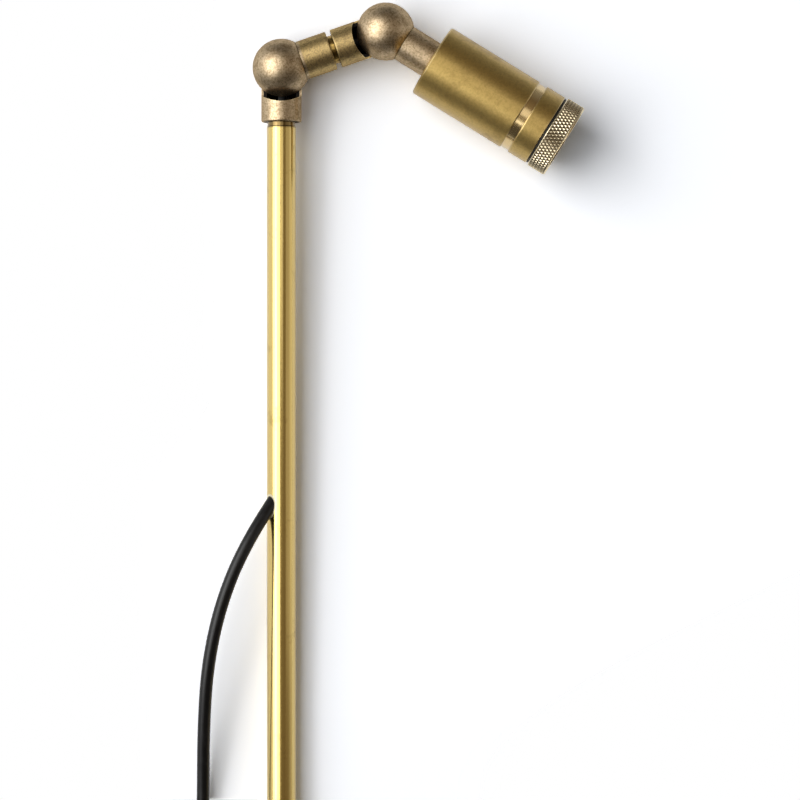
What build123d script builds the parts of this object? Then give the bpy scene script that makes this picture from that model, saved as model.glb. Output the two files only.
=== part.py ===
from build123d import *

import math
import os

# All sizes are in millimetres. The pole stands along Z with the ground at z = 0,
# X points the way the arm reaches and the pivots of both joints lie along Y.
# Threads are plain cylinders with the thread gap between them.

# Pole
pole_outer = 16.0
pole_wall = 1.5
pole_height = 421.0
neck_outer = 15.3
neck_length = 2.45
thread_outer = 15.9
thread_length = 9.0

# Ground spike
spike_length = 150.0
spike_width = 26.0
spike_blade = 3.0
spike_core = 9.0
spike_tip = 3.0
spike_flange = 30.0
spike_flange_height = 3.0
spike_spigot_length = 18.0
spike_shoulder_drop = 24.0
spike_screw_height = 10.0
spike_screw_thread = 4.0
spike_screw_depth = 4.0
spike_screw_head = 7.0
spike_screw_head_height = 2.0
spike_screw_key = 2.5
spike_screw_key_depth = 1.2
spike_edge = 0.5
spike_spigot_chamfer = 1.0

# Split ball joints, the same at both ends of the arm
ball_outer = 31.5
ball_wall = 3.0
split_gap = 0.5
scoop_radius = 18.3
stem_bore = 16.0
boss_outer = 11.0
shoulder_outer = 6.0
pivot_thread = 5.0
pivot_thread_length = 8.0
pivot_seat = 8.2
pivot_head_outer = 10.0
pivot_head_height = 5.2
pivot_key = 4.0
pivot_key_depth = 2.5
spring_washer_height = 1.2
head_room = 0.6
counterbore_wall = 2.0

# Arm
ball_spacing = 60.0
arm_rise = 19.2
stem_outer = 21.5
collar_outer = 21.9
stem_reach = 28.7
collar_reach = 29.55
stem_chamfer = 0.6
nipple_bore = 11.0
nipple_thread_length = 8.2
thread_chamfer = 0.4
grub_thread = 3.0
grub_key = 1.5
grub_key_depth = 1.4

# Head neck
head_drop = 31.7
neck_stem_outer = 20.5
neck_stem_bore = 14.0
neck_reach = 29.7
neck_floor = 3.0
neck_spigot = 12.0
neck_spigot_length = 13.0
neck_spigot_bore = 8.0
neck_seal_ring = 16.6
neck_seal_cord = 1.6
neck_seal_groove = 1.3
neck_washer_outer = 22.0
neck_washer_height = 1.2
neck_nut_flats = 17.0
neck_nut_height = 5.0

# Head barrel
head_outer = 41.25
barrel_wall = 1.6
barrel_floor_edge = 1.0
rear_wall = 4.0
rear_length = 56.4
rear_chamfer = 0.8
edge_chamfer = 0.3
band_length = 4.6
band_depth = 0.6
coupler_bore = 36.0
coupler_thread_length = 6.5
thread_relief = 0.5
front_length = 11.5
bezel_gap = 1.36
front_neck_outer = 37.8
front_neck_length = 6.8
lamp_pocket = 35.8
lamp_lip = 33.0
lamp_lip_height = 1.2

# Bezel
bezel_outer = 42.6
bezel_length = 11.0
bezel_opening = 34.0
bezel_front_wall = 1.8
bezel_seal_cord = 1.2
glass_outer = 37.4
glass_height = 3.0
gasket_height = 0.6
gasket_bore = 33.6

# Lamp
lamp_outer = 35.3
lamp_rim_height = 3.0
lamp_cover_height = 1.2
lamp_cover_outer = 32.5
lamp_length = 30.0
lamp_base_outer = 16.0
lamp_base_height = 8.0
lamp_shell = 1.5
lamp_bowl_fullness = 1.6
lamp_pin = 1.0
lamp_pin_spacing = 4.0
lamp_pin_length = 5.0
lamp_ring_height = 0.8
lamp_ring_split = 3.0
holder_outer = 18.0
holder_height = 9.0
holder_waist = 14.0
holder_edge = 1.0

# Supply cable and lamp lead
cable_outer = 7.0
sleeve_wall = 0.7
sleeve_lip = 0.5
exit_height = 214.3
exit_turn = 37.0
exit_slant = 38.0
exit_inside = 13.0
exit_bend_radius = 11.5
exit_stub = 6.0
exit_run = 21.0
splice_rise = 35.7
splice_outer = 9.0
splice_length = 30.0
lead_outer = 4.0
lead_offset = 3.4
lead_orbit = 9.6
lead_axis_reach = 24.0
lead_straight = 4.0
lead_ball_reach = 14.0
lead_swing_share = 0.35
lead_swing_depth = 1.36

# Free cable, its hank and its stripped end
hank_rest = 1.5
hank_loop_width = 42.0
hank_run = 84.0
hank_waist = 8.6
hank_turns = 2
hank_layer_gap = 0.8
hank_start = 114.0
tail_length = 14.0
core_outer = 2.3
core_spacing = 2.9
core_length = 16.0
tip_outer = 1.2
tip_length = 7.0
tie_width = 4.5
tie_wall = 1.2
tie_gap = 0.3
tie_head = 7.0
tie_head_height = 5.0

# Fits
thread_gap = 0.05
running_gap = 0.05
seat_gap = 0.25
bore_gap = 0.4
seal_gap = 0.05
screw_seat_gap = 0.1

# How far a cutting bar reaches past a face
overcut = 1.0

# Places worked out from the sizes above
collar_bottom = pole_height + neck_length
lower_ball_height = collar_bottom + collar_reach
LOWER_BALL = Vector(0, 0, lower_ball_height)
ARM_WAY = Vector(math.cos(math.radians(arm_rise)), 0, math.sin(math.radians(arm_rise)))
UPPER_BALL = LOWER_BALL + ARM_WAY * ball_spacing
half_gap = split_gap / 2
ball_radius = ball_outer / 2
cavity_radius = ball_radius - ball_wall
barrel_bore = head_outer - 2 * barrel_wall
head_rear = neck_reach
band_rear = head_rear + rear_length
front_rear = band_rear + band_length
front_face = front_rear + front_length
bezel_rear = front_face + bezel_gap
neck_front = front_face + front_neck_length
glass_rear = neck_front + gasket_height
glass_front = glass_rear + glass_height
bezel_front = bezel_rear + bezel_length
lamp_ring_rear = neck_front - lamp_ring_height
lamp_front = lamp_ring_rear
lamp_seat = lamp_front - lamp_rim_height
lamp_back = lamp_front - lamp_length
holder_front = lamp_back
holder_rear = holder_front - holder_height
collar_grub = collar_reach - thread_length / 2
nipple_grub = stem_reach - nipple_thread_length / 2
splice_bottom = exit_height + splice_rise
splice_top = splice_bottom + splice_length
EXIT_WAY = Vector(
    -math.sin(math.radians(exit_slant)) * math.cos(math.radians(exit_turn)),
    -math.sin(math.radians(exit_slant)) * math.sin(math.radians(exit_turn)),
    -math.cos(math.radians(exit_slant)),
)
EXIT = Vector(
    -pole_outer / 2 * math.cos(math.radians(exit_turn)),
    -pole_outer / 2 * math.sin(math.radians(exit_turn)),
    exit_height,
)
EXIT_STUB = EXIT + EXIT_WAY * exit_stub
cable_rest = cable_outer / 2 + hank_rest
layer_step = cable_outer + hank_layer_gap

# Corners of the free cable's route, from the pole down to the hank on the ground
LEAD_ROUTE = [
    EXIT_STUB,
    EXIT_STUB + EXIT_WAY * exit_run,
    Vector(-32.3, -16.4, 162),
    Vector(-39.7, -12.4, 128),
    Vector(-42.1, -5.5, 93),
    Vector(-42.7, 1.5, 60),
    Vector(-43.2, 5, 39),
    Vector(-53.5, 8.5, 17.6),
    Vector(-73.2, 14, cable_rest),
    Vector(-94, hank_loop_width / 2, cable_rest),
    Vector(-hank_start, hank_loop_width / 2, cable_rest),
]


def aimed(origin, rise):
    """The place whose Z leans rise degrees above X, with Y left as it is."""
    return Pos(*origin) * Rot(0, 90 - rise, 0)


COLLAR_PLACE = aimed(LOWER_BALL, -90)
ARM_PLACE = aimed(LOWER_BALL, arm_rise)
ARM_END_PLACE = aimed(UPPER_BALL, arm_rise + 180)
HEAD_PLACE = aimed(UPPER_BALL, -head_drop)


def turned(*outline):
    """A solid turned about Z from its outline of (radius, height) points."""
    edge = Polyline(*[(radius, 0, height) for radius, height in outline], close=True)
    return revolve(make_face(edge), Axis.Z)


def rod(outer, low, high):
    """A plain round bar on Z between two heights."""
    return Pos(0, 0, low) * Cylinder(outer / 2, high - low, align=(Align.CENTER, Align.CENTER, Align.MIN))


def tube(outer, bore, low, high):
    """A plain round tube on Z between two heights."""
    return rod(outer, low, high) - rod(bore, low - overcut, high + overcut)


def rod_y(outer, low, high):
    """A round bar on Y between two depths, where the rear is positive."""
    return Rot(-90, 0, 0) * rod(outer, low, high)


def hexagon(flats, low, high):
    """A hexagonal bar on Z between two heights."""
    face = RegularPolygon(flats / 2, 6, major_radius=False)
    return Pos(0, 0, low) * extrude(face, high - low)


def socket_y(flats, low, high):
    """A hexagonal bar on Y between two depths."""
    return Rot(-90, 0, 0) * hexagon(flats, low, high)


def turns(points):
    """The angle in radians that the route turns at each inner point."""
    ways = [b - a for a, b in zip(points, points[1:])]
    return [math.radians(a.get_angle(b)) for a, b in zip(ways, ways[1:])]


def bend_radii(points):
    """The arc radius at each inner point: as large as its two runs allow."""
    runs = [(b - a).length for a, b in zip(points, points[1:])]
    return [
        0.45 * min(before, after) / math.tan(angle / 2)
        for before, after, angle in zip(runs, runs[1:], turns(points))
    ]


def swept(outer, path):
    """A round cable swept along a wire."""
    start = path.position_at(0)
    way = path.tangent_at(0)
    return sweep(Plane(origin=start, z_dir=way) * Circle(outer / 2), path=path)


def cable(outer, points):
    """A round cable through a route of straight runs joined by tangent arcs."""
    return swept(outer, FilletPolyline(*points, radius=bend_radii(points)))


def half_ball(side, radius):
    """The part of a ball that lies on one side of the split: 1 is the rear, -1 the front."""
    size = 2 * ball_outer
    align = (Align.CENTER, Align.MIN if side > 0 else Align.MAX, Align.CENTER)
    return Sphere(radius) & (Pos(0, side * half_gap, 0) * Box(size, size, size, align=align))


def side_rod(side, outer, low, high):
    """A round bar on Y between two depths, which are mirrored for the front side."""
    return rod_y(outer, low, high) if side > 0 else rod_y(outer, -high, -low)


def joint_half(side, outer, reach, bore, bore_reach):
    """Half a hollow ball with its pivot boss and a stem along Z.

    The ball is cut at the split. Past the split the stem is scooped to an arc about
    the pivot, so that the other half turns inside it.
    """
    stem = turned(
        (0, 0),
        (outer / 2, 0),
        (outer / 2, reach - stem_chamfer),
        (outer / 2 - stem_chamfer, reach),
        (0, reach),
    )
    scoop = side_rod(side, 2 * scoop_radius, -ball_outer, half_gap)
    shell = half_ball(side, ball_radius) + (stem - scoop)
    shell = shell - half_ball(side, cavity_radius) - rod(bore, 0, bore_reach)
    boss = side_rod(side, boss_outer, half_gap, ball_radius)
    return shell + (boss & Sphere(ball_radius - ball_wall / 2))


def rear_half(outer, reach):
    """The half with the through bore and the counterbore for the pivot screw."""
    half = joint_half(1, outer, reach, stem_bore, reach + overcut)
    seat = pivot_head_outer + 2 * head_room
    wall = rod_y(seat + 2 * counterbore_wall, pivot_seat - counterbore_wall, ball_radius)
    half = half + (wall & Sphere(ball_radius))
    half -= rod_y(seat, pivot_seat, ball_radius + overcut)
    return half - rod_y(shoulder_outer + 2 * running_gap, 0, ball_radius)


def front_half(outer, reach, bore, bore_reach):
    """The half with the blind threaded hole for the pivot screw."""
    half = joint_half(-1, outer, reach, bore, bore_reach)
    depth = half_gap + pivot_thread_length + overcut
    return half - rod_y(pivot_thread + 2 * thread_gap, -depth, 0)


def pivot_screw():
    """A socket head shoulder screw along Y, its head at the rear."""
    seat = pivot_seat + spring_washer_height
    head = rod_y(pivot_head_outer, seat, seat + pivot_head_height)
    shoulder = rod_y(shoulder_outer, -half_gap, seat)
    thread = rod_y(pivot_thread, -half_gap - pivot_thread_length, -half_gap)
    top = seat + pivot_head_height
    return head + shoulder + thread - socket_y(pivot_key, top - pivot_key_depth, top)


def spring_washer():
    """The disc spring under the pivot screw's head."""
    top = pivot_seat + spring_washer_height
    bore = shoulder_outer + 2 * bore_gap
    return rod_y(pivot_head_outer, pivot_seat, top) - rod_y(bore, 0, ball_radius)


def friction_washer():
    """The flat washer between the two bosses at the split."""
    bore = shoulder_outer + 2 * bore_gap
    return rod_y(boss_outer, -half_gap, half_gap) - rod_y(bore, -half_gap, half_gap)


def grub_screw(outer, inner_radius, height):
    """A socket grub screw along Y at a height on Z, flush with the stem's rear."""
    tip = inner_radius + thread_gap
    top = outer / 2 - stem_chamfer
    screw = rod_y(grub_thread, tip, top)
    return Pos(0, 0, height) * (screw - socket_y(grub_key, top - grub_key_depth, top))


def grub_hole(outer, height):
    """The threaded hole that a grub screw sits in."""
    return Pos(0, 0, height) * rod_y(grub_thread + 2 * thread_gap, stem_bore / 4, outer)


def knuckle_lead(rise_in, rise_out):
    """The lamp lead through a joint, round the pivot boss, from stem to stem.

    It enters through the rear half and leaves through the front half.
    """
    def point(reach, rise, depth):
        angle = math.radians(rise)
        return Vector(reach * math.cos(angle), depth, reach * math.sin(angle))

    swing = (rise_out - rise_in) * lead_swing_share
    points = [
        point(lead_axis_reach, rise_in, 0),
        point(lead_axis_reach - lead_straight, rise_in, 0),
        point(lead_ball_reach, rise_in, lead_offset),
        point(lead_orbit, rise_in + swing, lead_swing_depth),
        point(lead_orbit, rise_out - swing, -lead_swing_depth),
        point(lead_ball_reach, rise_out, -lead_offset),
        point(lead_axis_reach - lead_straight, rise_out, 0),
        point(lead_axis_reach, rise_out, 0),
    ]
    return cable(lead_outer, points)


# Pole, spike and the cable inside
def exit_bar(outer):
    """A bar along the cable's way out, from the pole's axis to as far outside."""
    start = EXIT - EXIT_WAY * exit_inside
    return Plane(origin=start, z_dir=EXIT_WAY).location * rod(outer, 0, 2 * exit_inside)


def pole_tube():
    bore = pole_outer / 2 - pole_wall
    edge = thread_chamfer
    top = collar_bottom + thread_length
    body = turned(
        (bore, 0),
        (pole_outer / 2, 0),
        (pole_outer / 2, pole_height - edge),
        (pole_outer / 2 - edge, pole_height),
        (neck_outer / 2, pole_height),
        (neck_outer / 2, collar_bottom),
        (thread_outer / 2, collar_bottom + edge),
        (thread_outer / 2, top - edge),
        (thread_outer / 2 - edge, top),
        (bore, top),
    )
    body -= exit_bar(cable_outer + 2 * sleeve_wall)
    hole = rod_y(spike_screw_thread + 2 * thread_gap, 0, pole_outer)
    return body - Pos(0, 0, spike_screw_height) * hole


def ground_spike():
    spigot = pole_outer / 2 - pole_wall - thread_gap
    core = turned(
        (0, -spike_length),
        (spike_tip / 2, -spike_length + spike_tip),
        (spike_core / 2, -spike_flange_height),
        (spike_flange / 2 - spike_edge, -spike_flange_height),
        (spike_flange / 2, -spike_flange_height + spike_edge),
        (spike_flange / 2, -spike_edge),
        (spike_flange / 2 - spike_edge, 0),
        (spigot, 0),
        (spigot, spike_spigot_length - spike_spigot_chamfer),
        (spigot - spike_spigot_chamfer, spike_spigot_length),
        (0, spike_spigot_length),
    )
    blade_face = make_face(
        Polyline(
            (0, 0, -spike_length + spike_tip),
            (spike_width / 2, 0, -spike_shoulder_drop),
            (spike_width / 2, 0, -spike_flange_height),
            (-spike_width / 2, 0, -spike_flange_height),
            (-spike_width / 2, 0, -spike_shoulder_drop),
            close=True,
        )
    )
    blade = extrude(blade_face, spike_blade / 2, both=True)
    depth = spigot - spike_screw_depth
    hole = rod_y(spike_screw_thread + 2 * thread_gap, depth - overcut, pole_outer)
    solid = core + blade + Rot(0, 0, 90) * blade
    return solid - Pos(0, 0, spike_screw_height) * hole


def spike_screw():
    spigot = pole_outer / 2 - pole_wall - thread_gap
    seat = pole_outer / 2 + screw_seat_gap
    top = seat + spike_screw_head_height
    shank = rod_y(spike_screw_thread, spigot - spike_screw_depth, seat)
    head = rod_y(spike_screw_head, seat, top)
    key = socket_y(spike_screw_key, top - spike_screw_key_depth, top)
    return Pos(0, 0, spike_screw_height) * (shank + head - key)


def cable_sleeve():
    """The rubber sleeve in the pole's hole, flush outside, with a lip inside."""
    wall = tube(pole_outer, pole_outer - 2 * (pole_wall + sleeve_lip), 0, pole_height)
    return (exit_bar(cable_outer + 2 * sleeve_wall) - exit_bar(cable_outer)) & wall


def cable_in_pole():
    corner = Vector(0, 0, (EXIT - EXIT_WAY * exit_inside).Z)
    route = FilletPolyline(Vector(0, 0, splice_bottom), corner, EXIT_STUB, radius=exit_bend_radius)
    return swept(cable_outer, route)


def lead_splice():
    return rod(splice_outer, splice_bottom, splice_top)


def lead_in_pole():
    return rod(lead_outer, splice_top, lower_ball_height - lead_axis_reach)


# Lower joint
def lower_joint_base():
    half = rear_half(collar_outer, collar_reach)
    return COLLAR_PLACE * (half - grub_hole(collar_outer, collar_grub))


def base_grub_screw():
    return COLLAR_PLACE * grub_screw(collar_outer, thread_outer / 2, collar_grub)


def lower_joint_arm():
    half = front_half(stem_outer, stem_reach, stem_bore, stem_reach + overcut)
    return ARM_PLACE * (half - grub_hole(stem_outer, nipple_grub))


def arm_nipple():
    start = stem_reach - nipple_thread_length
    end = ball_spacing - start
    edge = thread_chamfer
    body = turned(
        (nipple_bore / 2, start),
        (thread_outer / 2 - edge, start),
        (thread_outer / 2, start + edge),
        (thread_outer / 2, end - edge),
        (thread_outer / 2 - edge, end),
        (nipple_bore / 2, end),
    )
    return ARM_PLACE * body


def nipple_grub_screw():
    return ARM_PLACE * grub_screw(stem_outer, thread_outer / 2, nipple_grub)


def lead_in_arm():
    return ARM_PLACE * rod(lead_outer, lead_axis_reach, ball_spacing - lead_axis_reach)


# Upper joint
def upper_joint_arm():
    half = rear_half(stem_outer, stem_reach)
    return ARM_END_PLACE * (half - grub_hole(stem_outer, nipple_grub))


def sleeve_grub_screw():
    return ARM_END_PLACE * grub_screw(stem_outer, thread_outer / 2, nipple_grub)


def upper_joint_head():
    floor = neck_reach - neck_floor
    top = neck_reach + neck_spigot_length
    half = front_half(neck_stem_outer, neck_reach, neck_stem_bore, floor)
    spigot = rod(neck_spigot - 2 * thread_gap, neck_reach, top)
    groove = tube(
        neck_seal_ring + neck_seal_cord,
        neck_seal_ring - neck_seal_cord,
        neck_reach - neck_seal_groove,
        neck_reach + overcut,
    )
    bore = rod(neck_spigot_bore, floor - overcut, top + overcut)
    return HEAD_PLACE * (half - groove + spigot - bore)


def neck_seal():
    """The flat-sided ring seal in the groove of the neck's end face."""
    ring = tube(
        neck_seal_ring + neck_seal_cord - 2 * seal_gap,
        neck_seal_ring - neck_seal_cord + 2 * seal_gap,
        neck_reach - neck_seal_groove,
        neck_reach,
    )
    return HEAD_PLACE * ring


def neck_washer():
    low = head_rear + rear_wall
    bore = neck_spigot + 2 * bore_gap
    return HEAD_PLACE * tube(neck_washer_outer, bore, low, low + neck_washer_height)


def neck_nut():
    low = head_rear + rear_wall + neck_washer_height
    nut = hexagon(neck_nut_flats, low, low + neck_nut_height)
    return HEAD_PLACE * (nut - rod(neck_spigot, low - overcut, low + neck_nut_height + overcut))


def lead_seal():
    low = neck_reach - neck_floor
    high = neck_reach + neck_spigot_length
    return HEAD_PLACE * tube(neck_spigot_bore, lead_outer, low, high)


def lead_in_head():
    return HEAD_PLACE * rod(lead_outer, lead_axis_reach, holder_rear)


# Head
def barrel_rear():
    outer = head_outer / 2
    bore = barrel_bore / 2
    hole = neck_spigot / 2 + thread_gap
    floor = head_rear + rear_wall
    body = turned(
        (hole, head_rear),
        (outer - rear_chamfer, head_rear),
        (outer, head_rear + rear_chamfer),
        (outer, band_rear - edge_chamfer),
        (outer - edge_chamfer, band_rear),
        (bore, band_rear),
        (bore, floor + barrel_floor_edge),
        (bore - barrel_floor_edge, floor),
        (hole, floor),
    )
    return HEAD_PLACE * body


def barrel_coupler():
    """The polished band between the barrels, with a thread into each of them."""
    band = head_outer / 2 - band_depth
    thread = barrel_bore / 2 - thread_gap
    bore = coupler_bore / 2
    body = turned(
        (bore, band_rear - coupler_thread_length),
        (thread, band_rear - coupler_thread_length),
        (thread, band_rear),
        (band, band_rear),
        (band, front_rear),
        (thread, front_rear),
        (thread, front_rear + coupler_thread_length),
        (bore, front_rear + coupler_thread_length),
    )
    return HEAD_PLACE * body


def barrel_front():
    outer = head_outer / 2
    bore = barrel_bore / 2
    neck = front_neck_outer / 2
    pocket = lamp_pocket / 2
    lip = lamp_lip / 2
    shoulder = front_rear + coupler_thread_length + thread_relief
    body = turned(
        (bore, front_rear),
        (outer - edge_chamfer, front_rear),
        (outer, front_rear + edge_chamfer),
        (outer, front_face - edge_chamfer),
        (outer - edge_chamfer, front_face),
        (neck, front_face),
        (neck, neck_front - edge_chamfer),
        (neck - edge_chamfer, neck_front),
        (pocket, neck_front),
        (pocket, lamp_seat),
        (lip, lamp_seat),
        (lip, lamp_seat - lamp_lip_height),
        (pocket, lamp_seat - lamp_lip_height),
        (pocket, shoulder),
        (bore, shoulder),
    )
    return HEAD_PLACE * body


def bezel_seal():
    """The round seal on the front neck, in the dark gap behind the bezel."""
    radius = front_neck_outer / 2 + bezel_seal_cord / 2
    ring = Pos(0, 0, front_face + bezel_gap / 2) * Torus(radius, bezel_seal_cord / 2)
    return HEAD_PLACE * ring


def front_glass():
    edge = edge_chamfer
    radius = glass_outer / 2
    body = turned(
        (0, glass_rear),
        (radius - edge, glass_rear),
        (radius, glass_rear + edge),
        (radius, glass_front - edge),
        (radius - edge, glass_front),
        (0, glass_front),
    )
    return HEAD_PLACE * body


def glass_gasket():
    return HEAD_PLACE * tube(glass_outer, gasket_bore, neck_front, glass_rear)


def bezel_ring():
    """The ring that screws on the front neck and holds the glass."""
    outer = bezel_outer / 2
    bore = front_neck_outer / 2 + running_gap
    opening = bezel_opening / 2
    body = turned(
        (bore, bezel_rear),
        (outer - edge_chamfer, bezel_rear),
        (outer, bezel_rear + edge_chamfer),
        (outer, bezel_front - edge_chamfer),
        (outer - edge_chamfer, bezel_front),
        (opening + bezel_front_wall, bezel_front),
        (opening, bezel_front - bezel_front_wall / 2),
        (opening, glass_front),
        (bore, glass_front),
    )
    return HEAD_PLACE * body


def bowl_outline(steps=5):
    """Points on the outside of the lamp's bowl, from its rim to its base."""
    rim = lamp_lip / 2 - seat_gap
    base = lamp_base_outer / 2
    top = lamp_seat - lamp_lip_height - bore_gap
    bottom = lamp_back + lamp_base_height
    points = []
    for step in range(steps + 1):
        share = step / steps
        swell = math.sqrt(1 - share**lamp_bowl_fullness)
        points.append((base + (rim - base) * swell, top + (bottom - top) * share))
    return points


def lamp_body():
    """The lamp: a flanged bowl with its base and two pins, open at the front."""
    lip = lamp_lip / 2 - seat_gap
    cover = lamp_cover_outer / 2
    outside = bowl_outline()
    inside = [(radius - lamp_shell, height) for radius, height in outside]
    solid = turned(
        (0, lamp_back),
        (lamp_base_outer / 2, lamp_back),
        (lamp_base_outer / 2, outside[-1][1]),
        *reversed(outside[:-1]),
        (lip, lamp_seat),
        (lamp_outer / 2, lamp_seat),
        (lamp_outer / 2, lamp_front),
        (cover, lamp_front),
        (cover, lamp_front - lamp_cover_height),
        (inside[0][0], lamp_front - lamp_cover_height),
        *inside,
        (0, inside[-1][1]),
    )
    pins = [
        Pos(0, side * lamp_pin_spacing / 2, 0) * rod(lamp_pin, lamp_back - lamp_pin_length, lamp_back)
        for side in (-1, 1)
    ]
    return HEAD_PLACE * (solid + pins[0] + pins[1])


def lamp_cover():
    low = lamp_front - lamp_cover_height
    return HEAD_PLACE * rod(lamp_cover_outer, low, lamp_front)


def lamp_ring():
    """The split ring that keeps the lamp's flange on its seat."""
    ring = tube(lamp_pocket, lamp_cover_outer, lamp_ring_rear, neck_front)
    depth = 2 * (lamp_pocket - lamp_cover_outer)
    slot = Pos(0, lamp_pocket / 2, lamp_ring_rear) * Box(lamp_ring_split, depth, 4 * lamp_ring_height)
    return HEAD_PLACE * (ring - slot)


def lamp_holder():
    """The ceramic block that the lamp's two pins push into."""
    half = holder_outer / 2
    waist = holder_waist / 2
    middle = holder_rear + holder_height / 2
    body = turned(
        (0, holder_rear),
        (waist - holder_edge, holder_rear),
        (waist, holder_rear + holder_edge),
        (waist, middle),
        (half, middle + holder_edge),
        (half, holder_front),
        (0, holder_front),
    )
    floor = holder_front - lamp_pin_length - overcut
    for side in (-1, 1):
        hole = rod(lamp_pin + 2 * thread_gap, floor, holder_front + overcut)
        body -= Pos(0, side * lamp_pin_spacing / 2, 0) * hole
    return HEAD_PLACE * body


# Free cable
def cable_lead():
    return cable(cable_outer, LEAD_ROUTE)


def half_turn(start, end, way):
    """The half circle from start to end whose tangents lie along way."""
    middle = (start + end) * 0.5 + way.normalized() * ((end - start).length / 2)
    return ThreePointArc(start, middle, end)


def waisted_run(start, way, inward):
    """Four arcs that take a run in to the hank's waist and out again."""
    half_length = hank_run / 2
    shift = (hank_loop_width - hank_waist) / 2
    radius = (half_length**2 + shift**2) / (4 * shift)
    bend = math.asin(half_length / 2 / radius)
    arcs = []
    for along, sign in ((0, 1), (half_length, -1)):
        first = start + way * along
        if sign < 0:
            first += inward * shift
        last = first + way * half_length + inward * (shift * sign)
        middle = (first + last) * 0.5
        sag = radius * (1 - math.cos(bend / 2))
        normal = way * (-sign * math.sin(bend / 2)) + inward * math.cos(bend / 2)
        low = (first + middle) * 0.5 - normal * (sag * sign)
        high = (middle + last) * 0.5 + normal * (sag * sign)
        arcs.append(ThreePointArc(first, low, middle))
        arcs.append(ThreePointArc(middle, high, last))
    return arcs


def hank_path():
    """The hank's centreline: flat loops, one above the other, and a last run."""
    left = Vector(-1, 0, 0)
    front = Vector(0, -1, 0)
    here = LEAD_ROUTE[-1]
    path = [Line(here, here + left * cable_outer)]
    here = here + left * cable_outer
    for turn in range(hank_turns):
        path += waisted_run(here, left, front)
        here += left * hank_run
        path.append(half_turn(here, here + front * hank_loop_width, left))
        here += front * hank_loop_width
        path += waisted_run(here, left * -1, front * -1)
        here += left * -hank_run
        above = here - front * hank_loop_width + Vector(0, 0, layer_step)
        path.append(half_turn(here, above, left * -1))
        here = above
    path += waisted_run(here, left, front)
    here += left * hank_run
    path.append(Line(here, here + left * tail_length))
    return Wire([edge for piece in path for edge in piece.edges()])


def cable_hank():
    return swept(cable_outer, hank_path())


def hank_end():
    """Where the cable's sheath ends, past the hank's last run."""
    start = LEAD_ROUTE[-1]
    reach = cable_outer + hank_run + tail_length
    return start + Vector(-reach, 0, hank_turns * layer_step)


def cores(outer, low, high):
    """Two thin bars side by side that leave the sheath's end along -X."""
    pair = [
        Pos(0, side * core_spacing / 2, 0) * rod(outer, low, high)
        for side in (-1, 1)
    ]
    return Pos(*hank_end()) * Rot(0, -90, 0) * (pair[0] + pair[1])


def cable_cores():
    return cores(core_outer, 0, core_length)


def core_tips():
    return cores(tip_outer, core_length, core_length + tip_length)


def cable_tie():
    """The band round the hank's waist, with its lock on top."""
    start = LEAD_ROUTE[-1]
    middle_x = start.X - cable_outer - hank_run / 2
    bundle = hank_waist + cable_outer + 2 * tie_gap
    height = cable_outer + hank_turns * layer_step + 2 * tie_gap
    middle_y = start.Y - hank_loop_width / 2
    middle_z = start.Z + hank_turns * layer_step / 2
    outside = Box(tie_width, bundle + 2 * tie_wall, height + 2 * tie_wall)
    outside = fillet(outside.edges().filter_by(Axis.X), cable_outer / 2)
    inside = Box(tie_width + 2 * overcut, bundle, height)
    inside = fillet(inside.edges().filter_by(Axis.X), cable_outer / 2 - tie_wall)
    lock_z = height / 2 + tie_wall + tie_head_height / 2
    lock = Pos(0, 0, lock_z) * Box(tie_head, tie_head, tie_head_height)
    return Pos(middle_x, middle_y, middle_z) * (outside - inside + lock)


def least_gap_to_itself():
    """The smallest gap between two stretches of the hank that aren't neighbours."""
    path = hank_path()
    count = 900
    step = path.length / count
    points = [path.position_at(n / count) for n in range(count + 1)]
    apart = math.ceil(2 * cable_outer / step)
    gaps = []
    for n, first in enumerate(points):
        gaps += [(first - second).length for second in points[n + apart :]]
    return min(gaps) - cable_outer


PIECES = {
    "pole_tube": pole_tube,
    "ground_spike": ground_spike,
    "spike_screw": spike_screw,
    "cable_sleeve": cable_sleeve,
    "cable_in_pole": cable_in_pole,
    "lead_splice": lead_splice,
    "lead_in_pole": lead_in_pole,
    "lower_joint_base": lower_joint_base,
    "base_grub_screw": base_grub_screw,
    "lower_friction_washer": lambda: COLLAR_PLACE * friction_washer(),
    "lead_in_lower_joint": lambda: Pos(*LOWER_BALL) * knuckle_lead(-90, arm_rise),
    "lower_joint_arm": lower_joint_arm,
    "lower_pivot_screw": lambda: ARM_PLACE * pivot_screw(),
    "lower_spring_washer": lambda: ARM_PLACE * spring_washer(),
    "arm_nipple": arm_nipple,
    "nipple_grub_screw": nipple_grub_screw,
    "lead_in_arm": lead_in_arm,
    "upper_joint_arm": upper_joint_arm,
    "sleeve_grub_screw": sleeve_grub_screw,
    "upper_friction_washer": lambda: ARM_END_PLACE * friction_washer(),
    "lead_in_upper_joint": lambda: Pos(*UPPER_BALL) * knuckle_lead(arm_rise - 180, -head_drop),
    "upper_joint_head": upper_joint_head,
    "upper_pivot_screw": lambda: HEAD_PLACE * pivot_screw(),
    "upper_spring_washer": lambda: HEAD_PLACE * spring_washer(),
    "neck_seal": neck_seal,
    "neck_washer": neck_washer,
    "neck_nut": neck_nut,
    "lead_seal": lead_seal,
    "lead_in_head": lead_in_head,
    "barrel_rear": barrel_rear,
    "barrel_coupler": barrel_coupler,
    "barrel_front": barrel_front,
    "bezel_seal": bezel_seal,
    "lamp_holder": lamp_holder,
    "lamp_body": lamp_body,
    "lamp_cover": lamp_cover,
    "lamp_ring": lamp_ring,
    "glass_gasket": glass_gasket,
    "front_glass": front_glass,
    "bezel_ring": bezel_ring,
    "cable_lead": cable_lead,
    "cable_hank": cable_hank,
    "cable_tie": cable_tie,
    "cable_cores": cable_cores,
    "core_tips": core_tips,
}

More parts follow.
